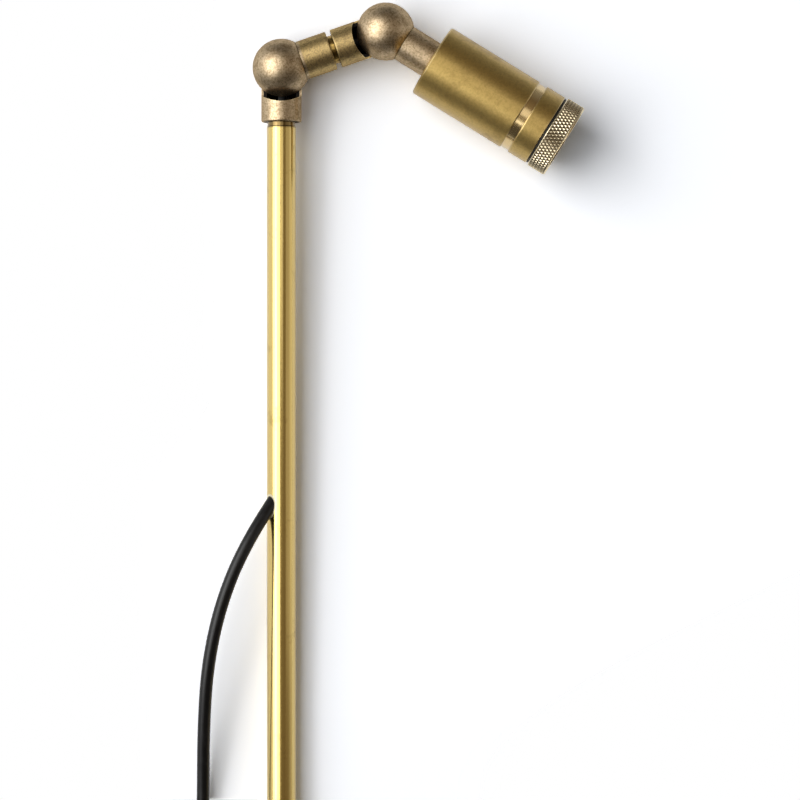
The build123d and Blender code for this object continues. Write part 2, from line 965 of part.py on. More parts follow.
os.makedirs("parts", exist_ok=True)
for name, make in PIECES.items():
    export_step(make(), f"parts/{name}.step")

print("cable bend radii:", [round(radius, 1) for radius in bend_radii(LEAD_ROUTE)])
lead_length = FilletPolyline(*LEAD_ROUTE, radius=bend_radii(LEAD_ROUTE)).length
print("cable length:", round(exit_stub + lead_length + hank_path().length, 1))
print("least gap in the hank:", round(least_gap_to_itself(), 2))
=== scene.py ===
"""Looks of the spike bollard light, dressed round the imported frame. All sizes are in metres."""
import logging
import math
from dataclasses import dataclass
from enum import Enum
from typing import Any, Sequence

import bmesh
import bpy
import numpy as np
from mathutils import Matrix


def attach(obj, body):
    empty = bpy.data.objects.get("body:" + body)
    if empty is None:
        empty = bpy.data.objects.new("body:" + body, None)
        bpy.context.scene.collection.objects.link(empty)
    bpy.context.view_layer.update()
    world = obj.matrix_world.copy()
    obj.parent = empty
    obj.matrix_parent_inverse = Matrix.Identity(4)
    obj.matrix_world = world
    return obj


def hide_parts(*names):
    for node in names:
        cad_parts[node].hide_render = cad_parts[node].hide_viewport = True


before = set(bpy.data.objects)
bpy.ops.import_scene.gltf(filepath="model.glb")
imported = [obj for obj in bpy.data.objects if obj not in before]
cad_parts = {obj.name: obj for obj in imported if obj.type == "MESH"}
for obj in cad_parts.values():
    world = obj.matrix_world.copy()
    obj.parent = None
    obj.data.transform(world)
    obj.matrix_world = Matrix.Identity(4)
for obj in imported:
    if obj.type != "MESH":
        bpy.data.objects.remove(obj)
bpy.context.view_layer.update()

log = logging.getLogger("spike_bollard_light")

Colour = tuple[float, float, float]
Point = tuple[float, float, float]
Pair = tuple[float, float]
Outline = Sequence[Pair]

# Driving sizes of the frame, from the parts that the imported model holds
GROUND = 0.0
POLE_RADIUS = 0.008
POLE_HEIGHT = 0.421
LOWER_BALL: Point = (0.0, 0.0, 0.453)
ARM_RISE = 19.2
HEAD_DROP = 31.7
BALL_SPACING = 0.060
UPPER_BALL: Point = (
    BALL_SPACING * math.cos(math.radians(ARM_RISE)),
    0.0,
    LOWER_BALL[2] + BALL_SPACING * math.sin(math.radians(ARM_RISE)),
)
SPLIT_HALF = 0.00025
EXIT_TURN = 37.0
EXIT_SLANT = 38.0
EXIT_HEIGHT = 0.2143
CABLE_RADIUS = 0.0035
HANK_START = 0.114
PAPER = 0.93

# How meshes are made: the smooth shading's limit, the welding distance, the distance of the
# extra point beside an arc, and the names of the two attributes
SHARP_ANGLE = math.radians(32)
WELD = 1e-7
NODE_WELD = 2e-6
SUPPORT = 0.00015
DEPTH = "depth"
CLEAR = "clear"


@dataclass(frozen=True)
class Place:
    """Where a turned piece stands.

    Its own Z lies along an axis in the frame's XZ plane, and its own Y is the frame's Y.
    """

    origin: Point = (0.0, 0.0, 0.0)
    rise: float = 90.0

    @property
    def lean(self) -> float:
        """The angle in radians by which the axis leans from upright towards X."""
        return math.radians(90.0 - self.rise)

    def turn(self) -> np.ndarray:
        """The 3 by 3 matrix whose columns are the piece's own axes."""
        cos, sin = math.cos(self.lean), math.sin(self.lean)
        return np.array([[cos, 0.0, sin], [0.0, 1.0, 0.0], [-sin, 0.0, cos]])

    def to_frame(self, points: np.ndarray) -> np.ndarray:
        """Points from the piece's own axes, in the frame's."""
        return points @ self.turn().T + np.array(self.origin)

    def mapping(self) -> dict[str, Point]:
        """The location and rotation that bring frame coordinates back to the piece's own axes."""
        location = -(self.turn().T @ np.array(self.origin))
        return {"Location": tuple(location), "Rotation": (0.0, -self.lean, 0.0)}


UPRIGHT = Place()
COLLAR_PLACE = Place(LOWER_BALL, -90.0)
ARM_PLACE = Place(LOWER_BALL, ARM_RISE)
ARM_END_PLACE = Place(UPPER_BALL, ARM_RISE + 180.0)
HEAD_PLACE = Place(UPPER_BALL, -HEAD_DROP)


@dataclass
class Surface:
    """A mesh being made: its points, one row each, and its faces as point numbers.

    depth is a value from 0 to 1 at each point, for a finish that darkens hollows.
    """

    points: np.ndarray
    faces: list[Any]
    depth: np.ndarray | None = None

    def placed(self, place: Place) -> "Surface":
        """The same surface moved to its place in the frame."""
        return Surface(place.to_frame(self.points), self.faces, self.depth)

    def joined(self, *others: "Surface") -> "Surface":
        """This surface and others as one mesh, not fused.

        Args:
            others: the surfaces whose points and faces follow this one's.

        Returns:
            The one mesh.
        """
        points, faces, start = [self.points], list(self.faces), len(self.points)
        for other in others:
            points.append(other.points)
            faces += [[start + n for n in face] for face in other.faces]
            start += len(other.points)
        return Surface(np.vstack(points), faces)


def eased(value: Any, start: Any, end: Any) -> Any:
    """0 up to start and 1 past end, with an S curve 3 s s - 2 s s s between them."""
    share = np.clip((value - start) / (end - start), 0.0, 1.0)
    return share * share * (3.0 - 2.0 * share)


def grid_faces(rows: int, columns: int, closed_rows: bool, closed_columns: bool) -> list[list[int]]:
    """Quads between the points of a grid that is stored row after row.

    Args:
        rows: how many rows the grid has.
        columns: how many points a row has.
        closed_rows: whether the last row joins the first one.
        closed_columns: whether each row is a ring.

    Returns:
        Four point numbers for each face.
    """
    row = np.arange(rows if closed_rows else rows - 1)
    column = np.arange(columns if closed_columns else columns - 1)
    row, column = (a.ravel() for a in np.meshgrid(row, column, indexing="ij"))
    next_row, next_column = (row + 1) % rows, (column + 1) % columns
    corners = [row * columns + column, row * columns + next_column]
    corners += [next_row * columns + next_column, next_row * columns + column]
    return np.stack(corners, axis=1).tolist()


def revolved(outline: Outline, around: int = 192, closed: bool = True) -> Surface:
    """A turned surface: the outline point (r, h) goes round to (r cos t, r sin t, h).

    Args:
        outline: radius and height of each point.
        around: the number of steps of t in the full circle.
        closed: whether the last point joins the first one.

    Returns:
        The surface about its own Z axis.
    """
    radius, height = np.array(outline, float).T
    t = np.linspace(0.0, 2 * math.pi, around, endpoint=False)
    x = radius[:, None] * np.cos(t)
    y = radius[:, None] * np.sin(t)
    z = np.broadcast_to(height[:, None], x.shape)
    points = np.stack([x, y, z], axis=-1).reshape(-1, 3)
    return Surface(points, grid_faces(len(radius), around, closed, True))


def rounded(corners: Sequence[tuple[float, ...]], steps: int = 4) -> list[Pair]:
    """A closed outline whose corners are arcs tangent to both their sides.

    Args:
        corners: (radius, height) for a sharp corner or (radius, height, rounding) for an arc.
        steps: the number of pieces that an arc is drawn with.

    Returns:
        The outline's points. An arc's centre lies on the corner's bisector at
        rounding / sin(half the corner's angle), and its ends are the feet of the
        perpendiculars from there to the two sides. Next to each end, a long side gets one
        more point, so that smooth shading stays within the arc.
    """
    flat = [np.array(corner[:2], float) for corner in corners]
    outline: list[Pair] = []
    for n, corner in enumerate(corners):
        here, before, after = flat[n], flat[n - 1], flat[(n + 1) % len(flat)]
        if len(corner) < 3 or corner[2] <= 0:
            outline.append((float(here[0]), float(here[1])))
            continue
        back, on = before - here, after - here
        sides = np.linalg.norm(back), np.linalg.norm(on)
        back, on = back / sides[0], on / sides[1]
        half = math.acos(float(np.clip(back @ on, -1, 1))) / 2
        reach = corner[2] / math.tan(half)
        centre = here + (back + on) / np.linalg.norm(back + on) * corner[2] / math.sin(half)
        first, last = here + back * reach - centre, here + on * reach - centre
        start = math.atan2(first[1], first[0])
        sweep = (math.atan2(last[1], last[0]) - start + math.pi) % (2 * math.pi) - math.pi
        arc = [start + sweep * step / steps for step in range(steps + 1)]
        bend = [centre + corner[2] * np.array([math.cos(angle), math.sin(angle)]) for angle in arc]
        if sides[0] > 4 * (reach + SUPPORT):
            bend.insert(0, here + back * (reach + SUPPORT))
        if sides[1] > 4 * (reach + SUPPORT):
            bend.append(here + on * (reach + SUPPORT))
        outline += [(float(r), float(h)) for r, h in bend]
    return outline


def ball_arc(radius: float, start: float, end: float, steps: int) -> list[Pair]:
    """Outline points on a ball about the origin: (radius sin a, radius cos a).

    Args:
        radius: the ball's radius.
        start: the first angle from the axis, in radians.
        end: the last angle from the axis, in radians.
        steps: the number of pieces between them.

    Returns:
        Radius and height of each point.
    """
    angles = np.linspace(start, end, steps + 1)
    return [(radius * math.sin(a), radius * math.cos(a)) for a in angles]


def bar(radius: float, low: float, high: float, around: int = 96) -> Surface:
    """A closed round bar on its own Z axis between two heights."""
    return revolved([(0.0, low), (radius, low), (radius, high), (0.0, high)], around, closed=False)


def along_y(surface: Surface) -> Surface:
    """A surface about Z turned to lie about Y, with its high end at the rear."""
    x, y, z = surface.points.T
    return Surface(np.stack([x, z, -y], axis=1), surface.faces)


def shifted(surface: Surface, x: float = 0.0, y: float = 0.0, z: float = 0.0) -> Surface:
    """The surface moved by an offset in its own axes."""
    return Surface(surface.points + np.array([x, y, z]), surface.faces)


def aimed_bar(
    start: np.ndarray, way: np.ndarray, radius: float, length: float, around: int = 96
) -> Surface:
    """A closed round bar from a start point along any way, both in the frame.

    Args:
        start: the centre of its first end.
        way: where it points, at any length.
        radius: its radius.
        length: its length.
        around: the number of steps in the full circle.

    Returns:
        The bar in the frame.
    """
    way = way / np.linalg.norm(way)
    side = np.cross(way, [0.0, 0.0, 1.0])
    side = side / np.linalg.norm(side)
    turn = np.stack([side, np.cross(way, side), way], axis=1)
    straight = bar(radius, 0.0, length, around)
    return Surface(straight.points @ turn.T + start, straight.faces)


def made(name: str, surface: Surface, weld: float = WELD) -> bpy.types.Object:
    """Puts a surface in a new object at the origin, welded, facing outwards and smooth.

    Args:
        name: the object's name.
        surface: the points and faces in the frame.
        weld: points closer than this become one.

    Returns:
        The object, linked to the scene.
    """
    mesh = bpy.data.meshes.new(name)
    mesh.from_pydata(surface.points.tolist(), [], surface.faces)
    if surface.depth is not None:
        mesh.attributes.new(DEPTH, "FLOAT", "POINT").data.foreach_set("value", surface.depth.ravel())
    work = bmesh.new()
    work.from_mesh(mesh)
    bmesh.ops.remove_doubles(work, verts=work.verts, dist=weld)
    bmesh.ops.dissolve_degenerate(work, edges=work.edges, dist=weld)
    bmesh.ops.recalc_face_normals(work, faces=work.faces)
    work.to_mesh(mesh)
    work.free()
    piece = bpy.data.objects.new(name, mesh)
    bpy.context.scene.collection.objects.link(piece)
    smoothed(piece)
    return piece


def smoothed(piece: bpy.types.Object) -> None:
    """Shades a mesh smooth apart from its sharp edges."""
    piece.data.shade_smooth()
    piece.data.set_sharp_from_angle(angle=SHARP_ANGLE)


def carved(
    piece: bpy.types.Object, added: Sequence[Surface] = (), taken: Sequence[Surface] = ()
) -> bpy.types.Object:
    """Adds closed surfaces to a closed piece and then takes others away.

    Args:
        piece: the closed mesh to work on.
        added: surfaces that are fused to it.
        taken: surfaces whose inside is cut out of it.

    Returns:
        The same object with its new mesh and no modifier left.
    """
    tools = []
    for operation, surfaces in (("UNION", added), ("DIFFERENCE", taken)):
        for surface in surfaces:
            tool = made("tool", surface)
            step = piece.modifiers.new("carve", "BOOLEAN")
            step.operation, step.solver, step.object = operation, "EXACT", tool
            tools.append(tool)
    evaluated = piece.evaluated_get(bpy.context.evaluated_depsgraph_get())
    carved_mesh = bpy.data.meshes.new_from_object(evaluated)
    old = piece.data
    piece.modifiers.clear()
    piece.data = carved_mesh
    carved_mesh.name = piece.name
    bpy.data.meshes.remove(old)
    for tool in tools:
        bpy.data.meshes.remove(tool.data)
    smoothed(piece)
    return piece


def node_copy(node: str, name: str) -> bpy.types.Object:
    """A welded and smoothed copy of a frame node's surface, for a small round piece.

    Args:
        node: the frame node's name.
        name: the copy's name.

    Returns:
        The copy.
    """
    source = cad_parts[node].data
    points = np.empty(len(source.vertices) * 3, np.float32)
    source.vertices.foreach_get("co", points)
    faces = [list(polygon.vertices) for polygon in source.polygons]
    return made(name, Surface(points.reshape(-1, 3).astype(float), faces), weld=NODE_WELD)


class Graph:
    """Short hand for a node tree: adds nodes, sets their inputs and links their sockets."""

    def __init__(self, tree: bpy.types.NodeTree) -> None:
        """Starts with an empty tree."""
        self.tree = tree
        tree.nodes.clear()

    def feed(self, node: Any, inputs: dict[Any, Any]) -> None:
        """Sets a node's inputs.

        Args:
            node: the node.
            inputs: another node's socket, which is linked, or a value, which is set on the input
                itself, for each input by name or number.
        """
        for name, value in inputs.items():
            if isinstance(value, bpy.types.NodeSocket):
                self.tree.links.new(value, node.inputs[name])
            else:
                node.inputs[name].default_value = value

    def add(
        self, kind: str, settings: dict[str, Any] | None = None, inputs: dict[Any, Any] | None = None
    ) -> Any:
        """Adds a node.

        Args:
            kind: the node's type name.
            settings: its own attributes, such as operation.
            inputs: a value or another node's socket for each input, by name or number.

        Returns:
            The node.
        """
        node = self.tree.nodes.new(kind)
        for name, value in (settings or {}).items():
            setattr(node, name, value)
        self.feed(node, inputs or {})
        return node

    def math(self, operation: str, *values: Any) -> Any:
        """The result socket of a math node."""
        return self.add("ShaderNodeMath", {"operation": operation}, dict(enumerate(values))).outputs[0]

    def times(self, first: Any, second: Any) -> Any:
        """The product of two values."""
        return self.math("MULTIPLY", first, second)

    def plus(self, first: Any, second: Any) -> Any:
        """The sum of two values."""
        return self.math("ADD", first, second)

    def minus(self, first: Any, second: Any) -> Any:
        """The difference of two values."""
        return self.math("SUBTRACT", first, second)

    def scaled(
        self, value: Any, low: float, high: float, from_low: float = 0.0, from_high: float = 1.0
    ) -> Any:
        """A value mapped from one range to another, and kept inside it."""
        inputs = {"Value": value, "From Min": from_low, "From Max": from_high, "To Min": low, "To Max": high}
        return self.add("ShaderNodeMapRange", None, inputs).outputs[0]

    def mixed(self, share: Any, first: Any, second: Any, blend: str = "MIX") -> Any:
        """The result socket of a colour mix.

        Args:
            share: how much of the second colour shows.
            first: three numbers or a socket.
            second: three numbers or a socket.
            blend: how they are mixed.

        Returns:
            The mixed colour.
        """
        node = self.add("ShaderNodeMix", {"data_type": "RGBA", "blend_type": blend})
        colours = [(*colour, 1.0) if isinstance(colour, tuple) else colour for colour in (first, second)]
        self.feed(node, dict(zip((0, 6, 7), (share, *colours))))
        return node.outputs[2]

    def noise(self, vector: Any, scale: Any, detail: float, roughness: float = 0.55) -> Any:
        """The value socket of a noise texture."""
        inputs = {"Vector": vector, "Scale": scale, "Detail": detail, "Roughness": roughness}
        return self.add("ShaderNodeTexNoise", None, inputs).outputs["Fac"]

    def where(self, kind: str = "Object") -> Any:
        """The object's own coordinates, or another kind of them."""
        return self.add("ShaderNodeTexCoord").outputs[kind]

    def mapped(self, vector: Any, **inputs: Point) -> Any:
        """A vector moved, turned or stretched."""
        return self.add("ShaderNodeMapping", None, {"Vector": vector, **inputs}).outputs[0]

    def part(self, vector: Any, axis: str) -> Any:
        """One of the three numbers of a vector."""
        return self.add("ShaderNodeSeparateXYZ", None, {0: vector}).outputs[axis]


class Effect(Enum):
    """The surface effects that several finishes share, each a node group."""

    BLOTCHES = "tarnish_blotches"
    BRUSHING = "brushed_lines"
    BLASTING = "blasted_grain"
    # Edges: partly wear, partly a painted highlight along them.
    WEAR_AND_HIGHLIGHT_EDGES = "wear_and_highlight_edges"
    # Painted shade with grime where pieces close in.
    CREVICE_GRIME_AND_SHADE = "crevice_grime_and_shade"


class EffectGroups:
    """Builds each shared effect once and hands out its node group."""

    def __init__(self) -> None:
        """Starts with no group made."""
        self.groups: dict[Effect, bpy.types.NodeTree] = {}

    def group(self, effect: Effect) -> bpy.types.NodeTree:
        """The node group of an effect, made on its first use.

        Args:
            effect: the effect.

        Returns:
            Its node group.
        """
        if effect not in self.groups:
            makers = {
                Effect.BLOTCHES: self.blotches,
                Effect.BRUSHING: self.brushing,
                Effect.BLASTING: self.blasting,
                Effect.WEAR_AND_HIGHLIGHT_EDGES: self.wear_and_highlight_edges,
                Effect.CREVICE_GRIME_AND_SHADE: self.crevice_grime_and_shade,
            }
            self.groups[effect] = makers[effect]()
        return self.groups[effect]

    @staticmethod
    def start(effect: Effect, inputs: Sequence[str], outputs: Sequence[str]) -> tuple[Graph, Any, Any]:
        """Opens a group with its sockets, all of them values apart from Vector.

        Args:
            effect: the effect that the group gives.
            inputs: the names of the inputs.
            outputs: the names of the outputs.

        Returns:
            The graph, what its input node gives and its output node.
        """
        tree = bpy.data.node_groups.new(effect.value, "ShaderNodeTree")
        for names, way in ((inputs, "INPUT"), (outputs, "OUTPUT")):
            for name in names:
                kind = "NodeSocketVector" if name == "Vector" else "NodeSocketFloat"
                tree.interface.new_socket(name, in_out=way, socket_type=kind)
        graph = Graph(tree)
        return graph, graph.add("NodeGroupInput").outputs, graph.add("NodeGroupOutput")

    def blotches(self) -> bpy.types.NodeTree:
        """Soft patches of tarnish: two sizes of noise, added and cut by a threshold.

        Returns:
            The node group.
        """
        graph, given, result = self.start(Effect.BLOTCHES, ("Vector", "Scale", "Amount"), ("Mask",))
        broad = graph.noise(given["Vector"], given["Scale"], 3.0)
        small = graph.noise(given["Vector"], graph.times(given["Scale"], 5.3), 4.0, 0.7)
        both = graph.plus(graph.times(broad, 0.62), graph.times(small, 0.38))
        threshold = graph.minus(0.66, graph.times(given["Amount"], 0.32))
        spread = graph.math("DIVIDE", graph.minus(both, threshold), 0.2)
        graph.feed(result, {"Mask": graph.add("ShaderNodeClamp", None, {"Value": spread}).outputs[0]})
        return graph.tree

    def brushing(self) -> bpy.types.NodeTree:
        """Fine lines: noise on coordinates that were stretched along the lines, in two finenesses.

        Returns:
            The node group.
        """
        graph, given, result = self.start(Effect.BRUSHING, ("Vector", "Scale"), ("Lines",))
        fine = graph.noise(given["Vector"], given["Scale"], 2.0)
        broad = graph.noise(given["Vector"], graph.times(given["Scale"], 0.28), 3.0)
        both = graph.plus(graph.times(fine, 0.6), graph.times(broad, 0.4))
        graph.feed(result, {"Lines": graph.scaled(both, 0.0, 1.0, 0.32, 0.68)})
        return graph.tree

    def blasting(self) -> bpy.types.NodeTree:
        """The grain that blasting leaves: small dents as a height and their dark bottoms as a mask.

        Returns:
            The node group.
        """
        graph, given, result = self.start(Effect.BLASTING, ("Vector", "Scale"), ("Height", "Mask"))
        grain = graph.noise(given["Vector"], given["Scale"], 4.0, 0.75)
        graph.feed(result, {"Height": grain, "Mask": graph.scaled(grain, 1.0, 0.0, 0.40, 0.53)})
        return graph.tree

    def wear_and_highlight_edges(self) -> bpy.types.NodeTree:
        """Where an edge is, for wear and a painted highlight along it: how far the rounded normal turns from
        the true one within a width.

        Returns:
            The node group.
        """
        graph, given, result = self.start(Effect.WEAR_AND_HIGHLIGHT_EDGES, ("Width",), ("Mask",))
        soft = graph.add("ShaderNodeBevel", {"samples": 4}, {"Radius": given["Width"]}).outputs[0]
        true = graph.add("ShaderNodeNewGeometry").outputs["Normal"]
        dot = graph.add("ShaderNodeVectorMath", {"operation": "DOT_PRODUCT"}, {0: soft, 1: true})
        graph.feed(result, {"Mask": graph.scaled(dot.outputs["Value"], 1.0, 0.0, 0.75, 0.97)})
        return graph.tree

    def crevice_grime_and_shade(self) -> bpy.types.NodeTree:
        """Painted shade and grime where pieces close in: how much of the surroundings within a distance is
        hidden, by this piece and by the pieces round it.

        Returns:
            The node group.
        """
        graph, given, result = self.start(Effect.CREVICE_GRIME_AND_SHADE, ("Distance",), ("Mask",))
        inputs = {"Distance": given["Distance"]}
        open_sky = graph.add("ShaderNodeAmbientOcclusion", {"samples": 4}, inputs).outputs["AO"]
        graph.feed(result, {"Mask": graph.scaled(open_sky, 1.0, 0.0, 0.25, 0.85)})
        return graph.tree


EFFECTS = EffectGroups()
MATERIALS: dict[str, bpy.types.Material] = {}


class Lines(Enum):
    """Which way a brushed finish runs on a turned piece."""

    NONE = (1.0, 1.0, 1.0)
    AROUND = (0.02, 0.02, 1.0)
    ALONG = (1.0, 1.0, 0.012)


@dataclass(frozen=True)
class Finish:
    """What every finish has: its name, the record's slot and a way to make its material."""

    name: str
    slot: str

    def build(self) -> bpy.types.Material:
        """Makes the material, or hands out the one made before.

        Returns:
            The material.
        """
        if self.name in MATERIALS:
            return MATERIALS[self.name]
        material = MATERIALS[self.name] = bpy.data.materials.new(self.name)
        material.use_nodes = True
        graph = Graph(material.node_tree)
        shader = graph.add("ShaderNodeBsdfPrincipled")
        graph.add("ShaderNodeOutputMaterial", None, {"Surface": shader.outputs[0]})
        self.dress(graph, shader)
        return material

    def dress(self, graph: Graph, shader: Any) -> None:
        """Feeds the shader's sockets. Each kind of finish has its own.

        Args:
            graph: the material's node tree.
            shader: its Principled BSDF.
        """
        raise NotImplementedError

    @staticmethod
    def effect(graph: Graph, effect: Effect, inputs: dict[str, Any]) -> Any:
        """Places a shared effect's group in the material and hands out what it gives."""
        return graph.add("ShaderNodeGroup", {"node_tree": EFFECTS.group(effect)}, inputs).outputs

    @staticmethod
    def bumped(graph: Graph, strength: float, depth: float, height: Any) -> Any:
        """The normal that a height gives."""
        inputs = {"Strength": strength, "Distance": depth, "Height": height}
        return graph.add("ShaderNodeBump", None, inputs).outputs[0]


@dataclass(frozen=True)
class Brass(Finish):
    """Brass, from polished to blasted and darkened.

    clean and tarnish are its two colours, amount how much is tarnished, blotch the
    number of blotches in a metre, lines and line_scale its brushing, grain_scale its
    blasting, and smooth and rough the ends of its roughness. edge is the colour that
    edges take within wear_and_highlight_width, partly wear and partly a painted highlight
    along them. hollow is the colour in the knurl's valleys, and grime_and_shade how dark it
    becomes where other surfaces close in within grime_and_shade_reach, grime together with
    painted shade in creases and between pieces. coat is the lacquer over it, rim_tint what it
    takes from light that grazes it, and stem the clean colour beyond stem_start on the
    piece's own axis. Inside the radius bore, beyond bore_shade_start, it is painted as dark
    as grime_and_shade_colour: painted shade deep in the bore.
    """

    clean: Colour = (0.8, 0.6, 0.22)
    tarnish: Colour = (0.4, 0.27, 0.1)
    amount: float = 0.4
    blotch: float = 90.0
    lines: Lines = Lines.NONE
    line_scale: float = 4000.0
    line_share: float = 0.25
    grain_scale: float = 2600.0
    grain_share: float = 0.0
    smooth: float = 0.15
    rough: float = 0.3
    bump: float = 0.0
    bump_depth: float = 0.00002
    # Edges within this width take the colour edge: partly wear, partly a painted highlight.
    wear_and_highlight_width: float = 0.0
    edge: Colour = (0.95, 0.78, 0.42)
    hollow: Colour | None = None
    # These darken the colour where other surfaces close in: grime together with painted shade. The colour
    # also paints the shade deep in a bore.
    grime_and_shade: float = 0.0
    grime_and_shade_colour: Colour = (0.030, 0.018, 0.008)
    grime_and_shade_reach: float = 0.0012
    coat: float = 0.0
    coat_rough: float = 0.12
    rim_tint: Colour = (1.0, 1.0, 1.0)
    stem: Colour | None = None
    stem_start: float = 0.0125
    # bore and the start below: deep inside a bore of this radius the colour is painted nearly black, painted
    # shade.
    bore: float = 0.0
    bore_shade_start: float = 0.0095
    place: Place = UPRIGHT

    def dress(self, graph: Graph, shader: Any) -> None:
        """Mixes tarnish, lines, grain, edges (wear and a painted highlight), painted shade in the
        bore, and grime with painted shade where pieces close in, into colour, roughness and normal.

        Args:
            graph: the material's node tree.
            shader: its Principled BSDF.
        """
        own = graph.mapped(graph.where(), **self.place.mapping())
        amounts = {"Vector": own, "Scale": self.blotch, "Amount": self.amount}
        blotches = self.effect(graph, Effect.BLOTCHES, amounts)["Mask"]
        clean: Any = self.clean
        if self.stem:
            beyond = graph.scaled(graph.part(own, "Z"), 0.0, 1.0, self.stem_start, self.stem_start + 0.001)
            clean = graph.mixed(beyond, self.clean, self.stem)
        colour = graph.mixed(blotches, clean, self.tarnish)
        rough = graph.scaled(blotches, self.smooth, self.rough)
        height = None
        if self.lines is not Lines.NONE:
            fineness = {"Vector": graph.mapped(own, Scale=self.lines.value), "Scale": self.line_scale}
            height = self.effect(graph, Effect.BRUSHING, fineness)["Lines"]
            share = graph.times(height, self.line_share)
            colour = graph.mixed(share, colour, self.tarnish)
            rough = graph.plus(rough, graph.times(share, 0.3))
        if self.grain_share > 0:
            grain = self.effect(graph, Effect.BLASTING, {"Vector": own, "Scale": self.grain_scale})
            colour = graph.mixed(graph.times(grain["Mask"], self.grain_share), colour, self.tarnish)
            height = grain["Height"] if height is None else graph.plus(height, grain["Height"])
        if self.hollow:
            depth = graph.add("ShaderNodeAttribute", {"attribute_name": DEPTH}).outputs["Fac"]
            colour = graph.mixed(graph.scaled(depth, 0.0, 1.0, 0.3, 0.95), colour, self.hollow)
            rough = graph.plus(rough, graph.times(depth, 0.2))
        # Edges: partly wear, partly a painted highlight along them.
        if self.wear_and_highlight_width > 0:
            wear_and_highlight = self.effect(graph, Effect.WEAR_AND_HIGHLIGHT_EDGES, {"Width": self.wear_and_highlight_width})["Mask"]
            colour = graph.mixed(wear_and_highlight, colour, self.edge)
            rough = graph.minus(rough, graph.times(wear_and_highlight, 0.1))
        # Painted shade: deep in the bore the colour turns nearly black and matt.
        if self.bore > 0:
            flat = graph.add("ShaderNodeVectorMath", {"operation": "MULTIPLY"}, {0: own, 1: (1.0, 1.0, 0.0)})
            radius = graph.add("ShaderNodeVectorMath", {"operation": "LENGTH"}, {0: flat.outputs[0]})
            within = graph.math("LESS_THAN", radius.outputs["Value"], self.bore)
            beyond = graph.math("GREATER_THAN", graph.part(own, "Z"), self.bore_shade_start)
            inside = graph.times(within, beyond)
            colour = graph.mixed(inside, colour, self.grime_and_shade_colour)
            rough = graph.math("MAXIMUM", rough, graph.times(inside, 0.8))
        # Grime together with painted shade: darker where other surfaces close in.
        if self.grime_and_shade > 0:
            hidden = self.effect(graph, Effect.CREVICE_GRIME_AND_SHADE, {"Distance": self.grime_and_shade_reach})["Mask"]
            colour = graph.mixed(graph.times(hidden, self.grime_and_shade), colour, self.grime_and_shade_colour)
        inputs = {
            "Base Color": colour,
            "Roughness": rough,
            "Metallic": 1.0,
            "Coat Weight": self.coat,
            "Coat Roughness": self.coat_rough,
            "Specular Tint": (*self.rim_tint, 1.0),
        }
        if self.bump > 0 and height is not None:
            inputs["Normal"] = self.bumped(graph, self.bump, self.bump_depth, height)
        graph.feed(shader, inputs)


@dataclass(frozen=True)
class Plain(Finish):
    """Rubber, plastic, ceramic or a plain metal: a colour that varies a little, and a fine grain."""

    colour: Colour = (0.05, 0.05, 0.05)
    other: Colour = (0.08, 0.08, 0.08)
    scale: float = 300.0
    smooth: float = 0.4
    rough: float = 0.55
    grain_scale: float = 3000.0
    bump: float = 0.1
    bump_depth: float = 0.00003
    metallic: float = 0.0
    specular: float = 0.5

    def dress(self, graph: Graph, shader: Any) -> None:
        """Mixes the two colours by blotches and feeds the grain to the bump.

        Args:
            graph: the material's node tree.
            shader: its Principled BSDF.
        """
        where = graph.where()
        spots = {"Vector": where, "Scale": self.scale, "Amount": 0.5}
        blotches = self.effect(graph, Effect.BLOTCHES, spots)["Mask"]
        grain = self.effect(graph, Effect.BLASTING, {"Vector": where, "Scale": self.grain_scale})["Height"]
        inputs = {
            "Base Color": graph.mixed(blotches, self.colour, self.other),
            "Roughness": graph.scaled(blotches, self.smooth, self.rough),
            "Normal": self.bumped(graph, self.bump, self.bump_depth, grain),
            "Metallic": self.metallic,
            "Specular IOR Level": self.specular,
        }
        graph.feed(shader, inputs)


@dataclass(frozen=True)
class Glass(Finish):
    """Clear or frosted glass with a trace of dust in its roughness."""

    colour: Colour = (0.95, 0.98, 0.97)
    smooth: float = 0.02
    rough: float = 0.08

    def dress(self, graph: Graph, shader: Any) -> None:
        """Sets the glass and lets blotches of dust change its roughness and tint.

        Args:
            graph: the material's node tree.
            shader: its Principled BSDF.
        """
        spots = {"Vector": graph.where(), "Scale": 160.0, "Amount": 0.35}
        dust = self.effect(graph, Effect.BLOTCHES, spots)["Mask"]
        inputs = {
            "Base Color": graph.mixed(dust, self.colour, tuple(c * 0.94 for c in self.colour)),
            "Roughness": graph.scaled(dust, self.smooth, self.rough),
            "Transmission Weight": 1.0,
            "IOR": 1.5,
        }
        graph.feed(shader, inputs)


BLASTED = {
    "tarnish": (0.25, 0.165, 0.078),
    "amount": 0.48,
    "blotch": 150.0,
    "grain_scale": 950.0,
    "grain_share": 0.72,
    "smooth": 0.40,
    "rough": 0.54,
    "bump": 0.5,
    "bump_depth": 0.00003,
    # Edges: wear and a painted highlight.
    "wear_and_highlight_width": 0.0005,
    # Grime with painted shade where pieces close in.
    "grime_and_shade": 0.95,
    "grime_and_shade_colour": (0.020, 0.012, 0.006),
    # Painted shade deep in the bore.
    "bore": 0.0098,
    "coat": 0.3,
    "coat_rough": 0.4,
    "rim_tint": (0.62, 0.54, 0.42),
}
PALE: Colour = (0.64, 0.50, 0.32)
YELLOW: Colour = (0.62, 0.46, 0.195)
AGED_COLLAR = Brass("aged_brass_collar", "aged_brass", place=COLLAR_PLACE, clean=PALE, **BLASTED)
AGED_ARM = Brass("aged_brass_arm", "aged_brass", place=ARM_PLACE, clean=PALE, stem=YELLOW, **BLASTED)
AGED_SLEEVE = Brass("aged_brass_sleeve", "aged_brass", place=ARM_PLACE, clean=YELLOW, **BLASTED)
